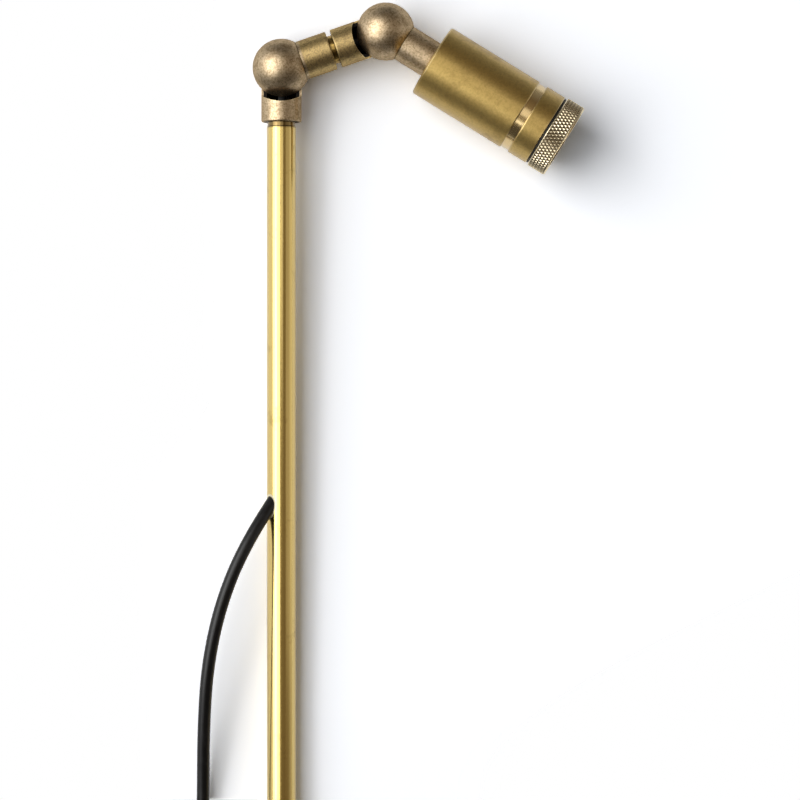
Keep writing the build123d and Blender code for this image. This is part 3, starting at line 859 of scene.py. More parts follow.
AGED_HEAD = Brass("aged_brass_head", "aged_brass", place=HEAD_PLACE, clean=PALE, **BLASTED)
AGED_SPIKE = Brass("aged_brass_spike", "aged_brass", place=UPRIGHT, clean=PALE, **BLASTED)
BRUSHED = Brass(
    "brass_brushed_round",
    "brushed_brass",
    clean=(0.63, 0.445, 0.142),
    tarnish=(0.37, 0.245, 0.07),
    amount=0.45,
    blotch=70.0,
    lines=Lines.AROUND,
    line_scale=2600.0,
    line_share=0.22,
    grain_scale=800.0,
    grain_share=0.4,
    smooth=0.34,
    rough=0.44,
    bump=0.35,
    bump_depth=0.00001,
    # A wide, bright edge: a painted highlight along the chamfers, with some wear.
    wear_and_highlight_width=0.0013,
    edge=(1.0, 0.88, 0.58),
    # Grime with painted shade where pieces close in.
    grime_and_shade=0.8,
    coat=0.4,
    coat_rough=0.3,
    place=HEAD_PLACE,
)
POLISHED_POLE = Brass(
    "polished_brass_pole",
    "polished_brass",
    clean=(0.86, 0.64, 0.205),
    tarnish=(0.50, 0.33, 0.07),
    amount=0.25,
    blotch=60.0,
    lines=Lines.ALONG,
    line_scale=1500.0,
    line_share=0.3,
    smooth=0.14,
    rough=0.26,
    bump=0.25,
    bump_depth=0.00001,
    # Edges: wear and a painted highlight.
    wear_and_highlight_width=0.0002,
    # Grime with painted shade where pieces close in, as under the collar.
    grime_and_shade=0.9,
    coat=1.0,
    coat_rough=0.14,
    stem=(0.20, 0.125, 0.03),
    stem_start=POLE_HEIGHT - 0.0012,
)
POLISHED_BAND = Brass(
    "polished_brass_band",
    "polished_brass",
    clean=(0.86, 0.64, 0.30),
    tarnish=(0.55, 0.38, 0.16),
    amount=0.2,
    lines=Lines.AROUND,
    line_scale=3000.0,
    line_share=0.15,
    smooth=0.17,
    rough=0.2,
    # Grime with painted shade where pieces close in.
    grime_and_shade=0.7,
    coat=1.0,
    coat_rough=0.1,
    place=HEAD_PLACE,
)
POLISHED_NIPPLE = Brass(
    "polished_brass_nipple",
    "polished_brass",
    clean=(0.60, 0.40, 0.12),
    tarnish=(0.10, 0.06, 0.015),
    amount=0.7,
    blotch=300.0,
    lines=Lines.AROUND,
    smooth=0.15,
    rough=0.3,
    # Grime with painted shade where pieces close in, strongest in the gap between the sleeves.
    grime_and_shade=1.0,
    grime_and_shade_reach=0.001,
    place=ARM_PLACE,
)
KNURLED = Brass(
    "brass_knurled_ring",
    "knurled_brass",
    clean=(0.97, 0.84, 0.57),
    tarnish=(0.70, 0.52, 0.25),
    amount=0.3,
    blotch=200.0,
    smooth=0.2,
    rough=0.32,
    hollow=(0.10, 0.058, 0.018),
    coat=0.6,
    coat_rough=0.2,
    place=HEAD_PLACE,
)
STEEL = Plain(
    "bright_steel",
    "steel",
    colour=(0.62, 0.61, 0.58),
    other=(0.48, 0.47, 0.45),
    metallic=1.0,
    smooth=0.22,
    rough=0.36,
)
SEAL_RUBBER = Plain(
    "black_seal", "seal_rubber", colour=(0.012, 0.012, 0.012), other=(0.02, 0.02, 0.02), smooth=0.5
)
# A cream sleeve, so that its rim shows as a bright line at the hole: a painted highlight.
SLEEVE_PAINTED_HIGHLIGHT = Plain(
    "hole_sleeve_painted_highlight",
    "seal_rubber",
    colour=(0.80, 0.71, 0.48),
    other=(0.66, 0.56, 0.34),
    smooth=0.3,
    rough=0.4,
)
CABLE_RUBBER = Plain(
    "black_cable_rubber",
    "cable_rubber",
    colour=(0.005, 0.005, 0.0055),
    other=(0.009, 0.009, 0.0095),
    smooth=0.30,
    rough=0.42,
    grain_scale=1800.0,
    bump=0.35,
    specular=0.45,
)
LEAD_SILICONE = Plain("black_lead", "lead_silicone", colour=(0.03, 0.03, 0.03), other=(0.045, 0.045, 0.045))
SHRINK_SLEEVE = Plain("black_shrink", "shrink_sleeve", colour=(0.02, 0.02, 0.02), other=(0.03, 0.03, 0.03))
WASHER_NYLON = Plain("washer_nylon", "nylon_washer", colour=(0.08, 0.08, 0.08), other=(0.11, 0.11, 0.11))
TIE_NYLON = Plain(
    "black_tie", "tie_nylon", colour=(0.02, 0.02, 0.02), other=(0.03, 0.03, 0.03), smooth=0.3, rough=0.42
)
CORE_BROWN = Plain(
    "core_brown",
    "core_insulation",
    colour=(0.16, 0.06, 0.02),
    other=(0.20, 0.08, 0.03),
    smooth=0.25,
    rough=0.35,
)
COPPER = Plain(
    "bare_copper",
    "copper",
    colour=(0.80, 0.40, 0.24),
    other=(0.62, 0.28, 0.16),
    metallic=1.0,
    smooth=0.25,
    rough=0.4,
)
CERAMIC = Plain(
    "white_ceramic",
    "ceramic",
    colour=(0.78, 0.76, 0.71),
    other=(0.70, 0.67, 0.61),
    smooth=0.45,
    rough=0.6,
)
REFLECTOR = Plain(
    "reflector",
    "lamp_reflector",
    colour=(0.86, 0.86, 0.85),
    other=(0.80, 0.80, 0.79),
    metallic=1.0,
    smooth=0.06,
    rough=0.12,
    bump=0.02,
)
CLEAR_GLASS = Glass("clear_glass", "lamp_glass")
FROSTED_GLASS = Glass("frosted_glass", "lamp_diffuser", colour=(0.93, 0.93, 0.91), smooth=0.25, rough=0.4)


def settle(piece: bpy.types.Object, body: str, finish: Finish, *nodes: str) -> bpy.types.Object:
    """Hands a finished piece over to the frame.

    Args:
        piece: the piece in its place.
        body: the body that it rides on.
        finish: its finish, whose material it gets.
        nodes: the frame nodes that it stands for.

    Returns:
        The same piece.
    """
    piece.data.materials.clear()
    piece.data.materials.append(finish.build())
    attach(piece, body)
    if nodes:
        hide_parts(*nodes)
    log.info("%s rides on %s and stands for %s", piece.name, body, ", ".join(nodes) or "no node")
    return piece


def fitted(
    name: str, surface: Surface, place: Place, body: str, finish: Finish, *nodes: str
) -> bpy.types.Object:
    """Makes a surface that is given in its own axes, puts it in its place and hands it over."""
    return settle(made(name, surface.placed(place)), body, finish, *nodes)


def dress_node(node: str, finish: Finish) -> None:
    """Gives a frame node that stays its finish.

    Args:
        node: the node's name.
        finish: its finish.
    """
    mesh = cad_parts[node].data
    mesh.materials.clear()
    mesh.materials.append(finish.build())
    log.info("%s keeps its own shape", node)


@dataclass(frozen=True)
class SupplyCable:
    """The free supply cable, its hank on the ground, the tie and the stripped end."""

    inside: float = 0.013
    stub: float = 0.006
    run: float = 0.021
    rest: float = 0.005
    loop_width: float = 0.042
    loop_run: float = 0.084
    waist: float = 0.0086
    layer_step: float = 0.0078
    turns: int = 2
    tail: float = 0.014
    length: float = 1.0245
    core_radius: float = 0.00115
    core_spacing: float = 0.0029
    core_length: float = 0.016
    tip_radius: float = 0.0006
    tip_length: float = 0.007
    splice_bottom: float = 0.250

    @property
    def way(self) -> np.ndarray:
        """The way that the cable leaves the pole.

        Returns:
            A vector of length 1.
        """
        slant, turn = math.radians(EXIT_SLANT), math.radians(EXIT_TURN)
        level = math.sin(slant)
        return np.array([-level * math.cos(turn), -level * math.sin(turn), -math.cos(slant)])

    @property
    def exit(self) -> np.ndarray:
        """Where the cable's centreline passes the pole's surface.

        Returns:
            A point in the frame.
        """
        turn = math.radians(EXIT_TURN)
        return np.array([-POLE_RADIUS * math.cos(turn), -POLE_RADIUS * math.sin(turn), EXIT_HEIGHT])

    def lead_route(self) -> list[np.ndarray]:
        """The corners of the free stretch, from the pole down to the hank.

        Returns:
            Points in the frame.
        """
        first = self.exit + self.way * self.stub
        return [
            first,
            first + self.way * self.run,
            np.array([-0.0323, -0.0164, 0.162]),
            np.array([-0.0397, -0.0124, 0.128]),
            np.array([-0.0421, -0.0055, 0.093]),
            np.array([-0.0427, 0.0015, 0.060]),
            np.array([-0.0432, 0.005, 0.039]),
            np.array([-0.0535, 0.0085, 0.0176]),
            np.array([-0.0732, 0.014, self.rest]),
            np.array([-0.094, self.loop_width / 2, self.rest]),
            np.array([-HANK_START, self.loop_width / 2, self.rest]),
        ]

    def hank_route(self) -> list[np.ndarray]:
        """The hank's corners: runs drawn in at the waist, half turns, and a climb of one layer a turn.

        A run goes from x = start to x = end with its distance from the middle line
        half the width at both ends and half the waist in the middle. A half turn's corners lie on
        a circle a little wider than the turn, because the line cuts inside them.

        Returns:
            Points in the frame.
        """
        half, near = self.loop_width / 2, self.waist / 2
        right = -HANK_START - 2 * CABLE_RADIUS
        left = right - self.loop_run
        shares = np.array([0.06, 0.22, 0.38, 0.5, 0.62, 0.78, 0.94])
        drawn = near + (half - near) * np.abs(np.cos(np.pi * shares)) ** 1.4
        bends = np.radians([15, 45, 75, 105, 135, 165])
        wide = half / math.cos(math.radians(15))
        route: list[np.ndarray] = []
        for turn in range(self.turns + 1):
            low = self.rest + turn * self.layer_step
            route += [np.array([right + (left - right) * s, y, low]) for s, y in zip(shares, drawn)]
            if turn == self.turns:
                break
            route += [np.array([left - wide * math.sin(a), wide * math.cos(a), low]) for a in bends]
            route += [np.array([left + (right - left) * s, -y, low]) for s, y in zip(shares, drawn)]
            climb = (bends - bends[0]) / (bends[-1] - bends[0]) * self.layer_step
            for angle, up in zip(bends, climb):
                route.append(np.array([right + wide * math.sin(angle), -wide * math.cos(angle), low + up]))
        end = np.array([left - self.tail, half, self.rest + self.turns * self.layer_step])
        route.append(end + np.array([self.tail * 0.5, 0.0, 0.0]))
        route.append(end)
        return route

    def tube(self, name: str, route: Sequence[np.ndarray], radius: float) -> bpy.types.Object:
        """A smooth round tube on a curve whose control points are the route's corners.

        Args:
            name: the object's name.
            route: the corners in the frame.
            radius: the tube's radius.

        Returns:
            The curve object.
        """
        curve = bpy.data.curves.new(name, "CURVE")
        curve.dimensions = "3D"
        curve.bevel_depth = radius
        curve.bevel_resolution = 8
        curve.use_fill_caps = True
        curve.resolution_u = 10
        spline = curve.splines.new("NURBS")
        spline.points.add(len(route) - 1)
        for point, place in zip(spline.points, route):
            point.co = (*place, 1.0)
        spline.order_u = 3
        spline.use_endpoint_u = True
        spline.resolution_u = 10
        piece = bpy.data.objects.new(name, curve)
        bpy.context.scene.collection.objects.link(piece)
        return piece

    def build(self) -> None:
        """Makes the cable, its stretch inside the pole, the cores, the tips and the tie."""
        corner = np.array([0.0, 0.0, (self.exit - self.way * self.inside)[2]])
        stub = self.exit + self.way * self.stub
        inner = [
            np.array([0.0, 0.0, self.splice_bottom]),
            corner + np.array([0.0, 0.0, 0.008]),
            corner + self.way * 0.0015,
            corner + self.way * 0.010,
            stub,
        ]
        settle(self.tube("cable_inside", inner, CABLE_RADIUS), "pole", CABLE_RUBBER, "cable_in_pole")
        cable = self.tube("supply_cable", self.lead_route() + self.hank_route(), CABLE_RADIUS)
        settle(cable, "pole", CABLE_RUBBER, "cable_lead", "cable_hank")
        away = np.array([-1.0, 0.0, 0.0])
        cores, tips = [], []
        for side in (-1.0, 1.0):
            start = self.hank_route()[-1] + np.array([0.0, side * self.core_spacing / 2, 0.0])
            cores.append(aimed_bar(start, away, self.core_radius, self.core_length, 40))
            start = start + away * self.core_length
            tips.append(aimed_bar(start, away, self.tip_radius, self.tip_length, 24))
        cores_made = made("insulated_cores", cores[0].joined(cores[1]))
        core_piece = settle(cores_made, "pole", CORE_BROWN, "cable_cores")
        tip_piece = settle(made("bare_tips", tips[0].joined(tips[1])), "pole", COPPER, "core_tips")
        tie = settle(node_copy("cable_tie", "hank_tie"), "pole", TIE_NYLON, "cable_tie")


@dataclass(frozen=True)
class Pole:
    """The polished pole with its turned neck and slanted cable hole, and the sleeve in the hole.

    ring_spans gives the start, end and step of the rings of points on its wall, close
    together where a hole is cut.
    """

    wall: float = 0.0015
    edge: float = 0.0004
    chamfer: float = 0.0003
    neck_radius: float = 0.00765
    neck_length: float = 0.00245
    thread_radius: float = 0.00795
    thread_length: float = 0.009
    hole_radius: float = 0.0042
    hole_inside: float = 0.013
    screw_height: float = 0.010
    screw_radius: float = 0.00205
    ring_spans: tuple[Point, ...] = (
        (0.006, 0.018, 0.001),
        (0.030, 0.195, 0.015),
        (0.198, 0.232, 0.0005),
        (0.245, 0.415, 0.015),
    )

    def build(self) -> None:
        """Turns the pole, cuts its two holes and adds the sleeve."""
        bore = POLE_RADIUS - self.wall
        neck_top = POLE_HEIGHT + self.neck_length
        top = neck_top + self.thread_length
        rings = [(POLE_RADIUS, z) for span in self.ring_spans for z in np.arange(*span)]
        outline = [(bore, 0.0), (POLE_RADIUS - self.chamfer, 0.0), (POLE_RADIUS, self.chamfer)] + rings
        outline += rounded(
            [
                (POLE_RADIUS, POLE_HEIGHT - 0.002),
                (POLE_RADIUS, POLE_HEIGHT, self.edge),
                (self.neck_radius, POLE_HEIGHT + 0.0001, 0.0001),
                (self.neck_radius, neck_top),
                (self.thread_radius, neck_top + self.edge),
                (self.thread_radius, top - self.edge),
                (self.thread_radius - self.edge, top),
                (bore, top),
            ]
        )
        cable = SupplyCable()
        pole = made("pole", revolved(outline, 256))
        start = cable.exit - cable.way * self.hole_inside
        slanted = aimed_bar(start, cable.way, self.hole_radius, 2 * self.hole_inside, 128)
        screw = shifted(along_y(bar(self.screw_radius, 0.0, 2 * POLE_RADIUS)), z=self.screw_height)
        carved(pole, taken=[slanted, screw])
        settle(pole, "pole", POLISHED_POLE, "pole_tube")
        # The hole's sleeve is cream: a painted highlight on the hole's rim.
        settle(node_copy("cable_sleeve", "hole_sleeve"), "pole", SLEEVE_PAINTED_HIGHLIGHT, "cable_sleeve")


@dataclass(frozen=True)
class GroundSpike:
    """The ground spike: four blades on a tapered core, its flange and its fixing screw.

    tip_blade is how far the blades still stand out at the tip, and blunt the size of the
    flat point as a share of the section above it.
    """

    length: float = 0.150
    half_width: float = 0.013
    half_blade: float = 0.0015
    core_radius: float = 0.0045
    tip: float = 0.003
    shoulder: float = 0.024
    flange_radius: float = 0.015
    flange_height: float = 0.003
    spigot_radius: float = 0.00645
    spigot_length: float = 0.018
    edge: float = 0.0005
    chamfer: float = 0.0003
    tip_blade: float = 0.0004
    blunt: float = 0.15

    def blades(self) -> Surface:
        """The blades and core as one cross section carried down the axis.

        At a height z the blades reach half_width down to the shoulder and then taper in a straight
        line to the tip. In each quarter the section has the blade's two chamfered corners and
        then an arc of the core between this blade and the next.

        Returns:
            The closed surface, with its point cut blunt.
        """
        z = np.concatenate(
            [
                np.linspace(-self.flange_height, -self.shoulder, 6),
                np.linspace(-self.shoulder, -self.length + self.tip, 40)[1:],
            ]
        )
        down = (-self.shoulder - z) / (self.length - self.tip - self.shoulder)
        share = 1.0 - np.clip(down, 0.0, 1.0)
        reach = np.maximum(self.half_width * share, self.tip / 2 + self.tip_blade)
        core = self.tip / 2 + (self.core_radius - self.tip / 2) * (self.length + z) / self.length
        thin = self.half_blade - self.chamfer
        rows = []
        for quarter in range(4):
            base = quarter * math.pi / 2
            open_angle = np.arcsin(np.clip(self.half_blade / core, 0.0, 0.70))
            corners = [
                (reach - self.chamfer, np.full_like(z, -self.half_blade)),
                (reach, np.full_like(z, -thin)),
                (reach, np.full_like(z, thin)),
                (reach - self.chamfer, np.full_like(z, self.half_blade)),
            ]
            for step in np.linspace(0.0, 1.0, 9):
                angle = open_angle + (math.pi / 2 - 2 * open_angle) * step
                corners.append((core * np.cos(angle), core * np.sin(angle)))
            cos, sin = math.cos(base), math.sin(base)
            rows += [np.stack([x * cos - y * sin, x * sin + y * cos, z], axis=1) for x, y in corners]
        section = np.stack(rows, axis=1)
        low = section[-1:].copy()
        low[..., :2] *= self.blunt
        low[..., 2] = -self.length
        points = np.concatenate([section, low], axis=0)
        count = points.shape[1]
        faces = grid_faces(points.shape[0], count, False, True)
        faces.append(list(range(count)))
        faces.append(list(range((points.shape[0] - 1) * count, points.shape[0] * count)))
        return Surface(points.reshape(-1, 3), faces)

    def build(self) -> None:
        """Makes the spike with its flange and spigot, and the screw."""
        flange = revolved(
            rounded(
                [
                    (0.0, -self.flange_height),
                    (self.flange_radius, -self.flange_height, self.edge),
                    (self.flange_radius, 0.0, self.edge),
                    (self.spigot_radius, 0.0),
                    (self.spigot_radius, self.spigot_length, 0.001),
                    (0.0, self.spigot_length),
                ]
            ),
            144,
        )
        settle(made("ground_spike_body", self.blades().joined(flange)), "pole", AGED_SPIKE, "ground_spike")
        settle(node_copy("spike_screw", "spike_fixing_screw"), "pole", STEEL, "spike_screw")


@dataclass(frozen=True)
class BallHalf:
    """One half of a split ball joint: half a hollow ball, its boss and a scooped stem.

    side is 1 for the rear half, which has the counterbore and the through hole, and -1
    for the front half. groove_turn is the angle that the groove takes from the ball's arc,
    overlap how far one cutter reaches into the next, and through how far a cutter goes out.
    """

    name: str
    node: str
    body: str
    place: Place
    finish: Finish
    side: int
    stem_radius: float
    reach: float
    bore: float = 0.008
    floor: float = 0.0
    grub_height: float = 0.0
    ball: float = 0.01575
    ball_wall: float = 0.003
    scoop: float = 0.0183
    boss_radius: float = 0.0055
    seat: float = 0.0082
    seat_radius: float = 0.0056
    seat_wall: float = 0.002
    shoulder_radius: float = 0.00305
    edge: float = 0.0006
    groove: float = 0.0003
    groove_turn: float = 0.02
    stem_rings: int = 14
    grub_radius: float = 0.00155
    grub_inside: float = 0.004
    overlap: float = 0.001
    through: float = 0.03

    def shell(self) -> Surface:
        """The whole hollow ball with its whole stem, turned about the stem's axis.

        Outside, the outline is the ball's arc up to where it meets the stem, a fine groove,
        the stem and its rounded end. Inside, it is the bore and the cavity's arc.

        Returns:
            The surface in the piece's own axes.
        """
        cavity = self.ball - self.ball_wall
        meet = math.asin(self.stem_radius / self.ball)
        inner = math.asin(self.bore / cavity)
        foot = self.ball * math.cos(meet)
        groove = [
            (self.stem_radius - self.groove, foot),
            (self.stem_radius - self.groove, foot + self.groove),
            (self.stem_radius, foot + self.groove),
        ]
        heights = np.linspace(foot + 2 * self.groove, self.reach - 3 * self.edge, self.stem_rings)
        along = [(self.stem_radius, float(height)) for height in heights]
        end = rounded(
            [
                (self.stem_radius, self.reach - 8 * self.edge),
                (self.stem_radius, self.reach, self.edge),
                (self.stem_radius * 0.5, self.reach),
            ]
        )[1:-1]
        outside = ball_arc(self.ball, math.pi, meet + self.groove_turn, 64) + groove + along + end
        if self.floor:
            lid = revolved(outside + [(0.0, self.reach)], 160, closed=False)
            inside = [(0.0, self.floor), (self.bore, self.floor)] + ball_arc(cavity, inner, math.pi, 40)
            return lid.joined(revolved(inside, 160, closed=False))
        outline = outside + [(self.bore, self.reach)] + ball_arc(cavity, inner, math.pi, 40)
        return revolved(outline, 160, closed=False)

    def facing(self, surface: Surface) -> Surface:
        """A surface made for the rear half, mirrored in Y where this is the front half."""
        return Surface(surface.points * np.array([1, self.side, 1]), surface.faces)

    def build(self) -> bpy.types.Object:
        """Turns the shell, fuses its boss and cuts the scoop and the holes.

        Returns:
            The finished half.
        """
        cap = self.ball - self.ball_wall / 2
        out = math.asin(self.boss_radius / cap)
        boss = [(0.0, SPLIT_HALF), (self.boss_radius, SPLIT_HALF)] + ball_arc(cap, out, 0.0, 8)
        added = [along_y(revolved(boss, 96, closed=False))]
        taken = [self.facing(along_y(bar(self.scoop, -self.through, SPLIT_HALF, 360)))]
        if self.side > 0:
            wide = self.seat_radius + self.seat_wall
            plug = [(0.0, self.seat - self.seat_wall), (wide, self.seat - self.seat_wall)]
            plug += ball_arc(cap, math.asin(wide / cap), 0.0, 8)
            added.append(along_y(revolved(plug, 96, closed=False)))
            taken.append(along_y(bar(self.seat_radius, self.seat, self.through)))
            shoulder = bar(self.shoulder_radius, -self.overlap, self.seat + self.overlap)
            taken.append(along_y(shoulder))
        if self.grub_height:
            hole = along_y(bar(self.grub_radius, self.grub_inside, self.through))
            taken.append(shifted(hole, z=self.grub_height))
        piece = made(self.name, self.shell().placed(self.place))
        added = [self.facing(surface).placed(self.place) for surface in added]
        carved(piece, added, [surface.placed(self.place) for surface in taken])
        return settle(piece, self.body, self.finish, self.node)


@dataclass(frozen=True)
class Arm:
    """The arm: both split ball joints, the nipple between its sleeves and the screws."""

    stem_radius: float = 0.01075
    collar_radius: float = 0.01095
    collar_scoop: float = 0.0189
    neck_radius: float = 0.01025
    stem_reach: float = 0.0287
    collar_reach: float = 0.02955
    neck_reach: float = 0.0297
    neck_bore: float = 0.007
    neck_floor: float = 0.0267
    nipple_radius: float = 0.00795
    nipple_bore: float = 0.0055
    nipple_thread: float = 0.0082
    nipple_edge: float = 0.0004
    thread_length: float = 0.009

    def build(self) -> None:
        """Makes the four ball halves, the nipple and the fasteners."""
        grub = self.stem_reach - self.nipple_thread / 2
        collar_grub = self.collar_reach - self.thread_length / 2
        halves = [
            BallHalf(
                "lower_knuckle_base", "lower_joint_base", "joint_base", COLLAR_PLACE, AGED_COLLAR, 1,
                self.collar_radius, self.collar_reach, grub_height=collar_grub, scoop=self.collar_scoop,
            ),
            BallHalf(
                "lower_knuckle_arm", "lower_joint_arm", "arm", ARM_PLACE, AGED_ARM, -1,
                self.stem_radius, self.stem_reach, grub_height=grub,
            ),
            BallHalf(
                "upper_knuckle_arm", "upper_joint_arm", "arm_end", ARM_END_PLACE, AGED_SLEEVE, 1,
                self.stem_radius, self.stem_reach, grub_height=grub,
            ),
            BallHalf(
                "upper_knuckle_head", "upper_joint_head", "head", HEAD_PLACE, AGED_HEAD, -1,
                self.neck_radius, self.neck_reach, bore=self.neck_bore, floor=self.neck_floor,
            ),
        ]
        for half in halves:
            half.build()
        self.nipple()
        for node, body in (
            ("base_grub_screw", "joint_base"),
            ("lower_pivot_screw", "arm"),
            ("lower_spring_washer", "arm"),
            ("nipple_grub_screw", "arm"),
            ("sleeve_grub_screw", "arm_end"),
            ("upper_pivot_screw", "head"),
            ("upper_spring_washer", "head"),
        ):
            settle(node_copy(node, node + "_bright"), body, STEEL, node)

    def nipple(self) -> None:
        """The nipple that joins the sleeves, bright in the gap between them."""
        start = self.stem_reach - self.nipple_thread
        end = BALL_SPACING - start
        outline = rounded(
            [
                (self.nipple_bore, start),
                (self.nipple_radius, start, self.nipple_edge),
                (self.nipple_radius, end, self.nipple_edge),
                (self.nipple_bore, end),
            ]
        )
        fitted("arm_nipple_turned", revolved(outline), ARM_PLACE, "arm", POLISHED_NIPPLE, "arm_nipple")


@dataclass(frozen=True)
class Head:
    """The head's turned shells: rear barrel, polished band, front barrel, seal and glass."""

    radius: float = 0.020625
    wall: float = 0.0016
    rear: float = 0.0297
    rear_wall: float = 0.004
    rear_length: float = 0.0564
    rear_edge: float = 0.0008
    edge: float = 0.0003
    band_edge: float = 0.0006
    band_length: float = 0.0046
    band_depth: float = 0.0006
    front_length: float = 0.0115
    gap: float = 0.00136
    neck_radius: float = 0.0189
    neck_length: float = 0.0068
    pocket: float = 0.0179
    lip: float = 0.0165
    lip_height: float = 0.0012
    hole: float = 0.00605
    thread: float = 0.0065
    thread_slack: float = 0.00005
    relief: float = 0.0005
    floor_edge: float = 0.001
    coupler_bore: float = 0.018
    seal_cord: float = 0.0006
    glass_radius: float = 0.0187
    gasket: float = 0.0006
    gasket_bore: float = 0.0168
    glass_height: float = 0.003
    lamp_rim: float = 0.003
    ring_height: float = 0.0008

    @property
    def band_rear(self) -> float:
        """Where the rear barrel ends, along the head's axis from the upper ball."""
        return self.rear + self.rear_length

    @property
    def front_rear(self) -> float:
        """Where the front barrel starts."""
        return self.band_rear + self.band_length

    @property
    def front_face(self) -> float:
        """Where the front barrel's outside ends."""
        return self.front_rear + self.front_length

    @property
    def neck_front(self) -> float:
        """The front face of the neck that the bezel screws on."""
        return self.front_face + self.neck_length

    def shells(self) -> dict[str, tuple[str, Finish, list[tuple[float, ...]]]]:
        """Each shell's node, finish and outline corners (radius, height, rounding).

        Returns:
            The three, by the piece's name.
        """
        bore = self.radius - self.wall
        floor = self.rear + self.rear_wall
        band = self.radius - self.band_depth
        thread = bore - self.thread_slack
        seat = self.neck_front - self.ring_height - self.lamp_rim
        relief = self.front_rear + self.thread + self.relief
        return {
            "rear_barrel": (
                "barrel_rear",
                BRUSHED,
                [
                    (self.hole, self.rear),
                    (self.radius - self.rear_edge, self.rear, 0.0001),
                    (self.radius, self.rear + self.rear_edge, 0.0002),
                    (self.radius, self.band_rear, self.band_edge),
                    (bore, self.band_rear),
                    (bore, floor, self.floor_edge),
                    (self.hole, floor),
                ],
            ),
            "polished_band": (
                "barrel_coupler",
                POLISHED_BAND,
                [
                    (self.coupler_bore, self.band_rear - self.thread),
                    (thread, self.band_rear - self.thread),
                    (thread, self.band_rear),
                    (band, self.band_rear),
                    (band, self.front_rear),
                    (thread, self.front_rear),
                    (thread, self.front_rear + self.thread),
                    (self.coupler_bore, self.front_rear + self.thread),
                ],
            ),
            "front_barrel": (
                "barrel_front",
                BRUSHED,
                [
                    (bore, self.front_rear),
                    (self.radius, self.front_rear, self.band_edge),
                    (self.radius, self.front_face, self.edge),
                    (self.neck_radius, self.front_face),
                    (self.neck_radius, self.neck_front, self.edge),
                    (self.pocket, self.neck_front),
                    (self.pocket, seat),
                    (self.lip, seat),
                    (self.lip, seat - self.lip_height),
                    (self.pocket, seat - self.lip_height),
                    (self.pocket, relief),
                    (bore, relief),
                ],
            ),
        }

    def build(self) -> None:
        """Turns the shells, the seal, the gasket and the glass."""
        for name, (node, finish, corners) in self.shells().items():
            fitted(name, revolved(rounded(corners), 240), HEAD_PLACE, "head", finish, node)
        circle = np.linspace(0.0, 2 * math.pi, 24, endpoint=False)
        middle = self.front_face + self.gap / 2
        cord = [
            (self.neck_radius + self.seal_cord * (1 + math.cos(a)), middle + self.seal_cord * math.sin(a))
            for a in circle
        ]
        fitted("round_seal", revolved(cord, 160), HEAD_PLACE, "head", SEAL_RUBBER, "bezel_seal")
        rear = self.neck_front + self.gasket
        front = rear + self.glass_height
        gasket = [
            (self.gasket_bore, self.neck_front),
            (self.glass_radius, self.neck_front),
            (self.glass_radius, rear),
            (self.gasket_bore, rear),
        ]
        fitted("flat_gasket", revolved(gasket, 160), HEAD_PLACE, "glass", SEAL_RUBBER, "glass_gasket")
        glass = rounded(
            [
                (0.0, rear),
                (self.glass_radius, rear, self.edge),
                (self.glass_radius, front, self.edge),
                (0.0, front),
            ]
        )
        fitted("lamp_window", revolved(glass, 160), HEAD_PLACE, "glass", CLEAR_GLASS, "front_glass")


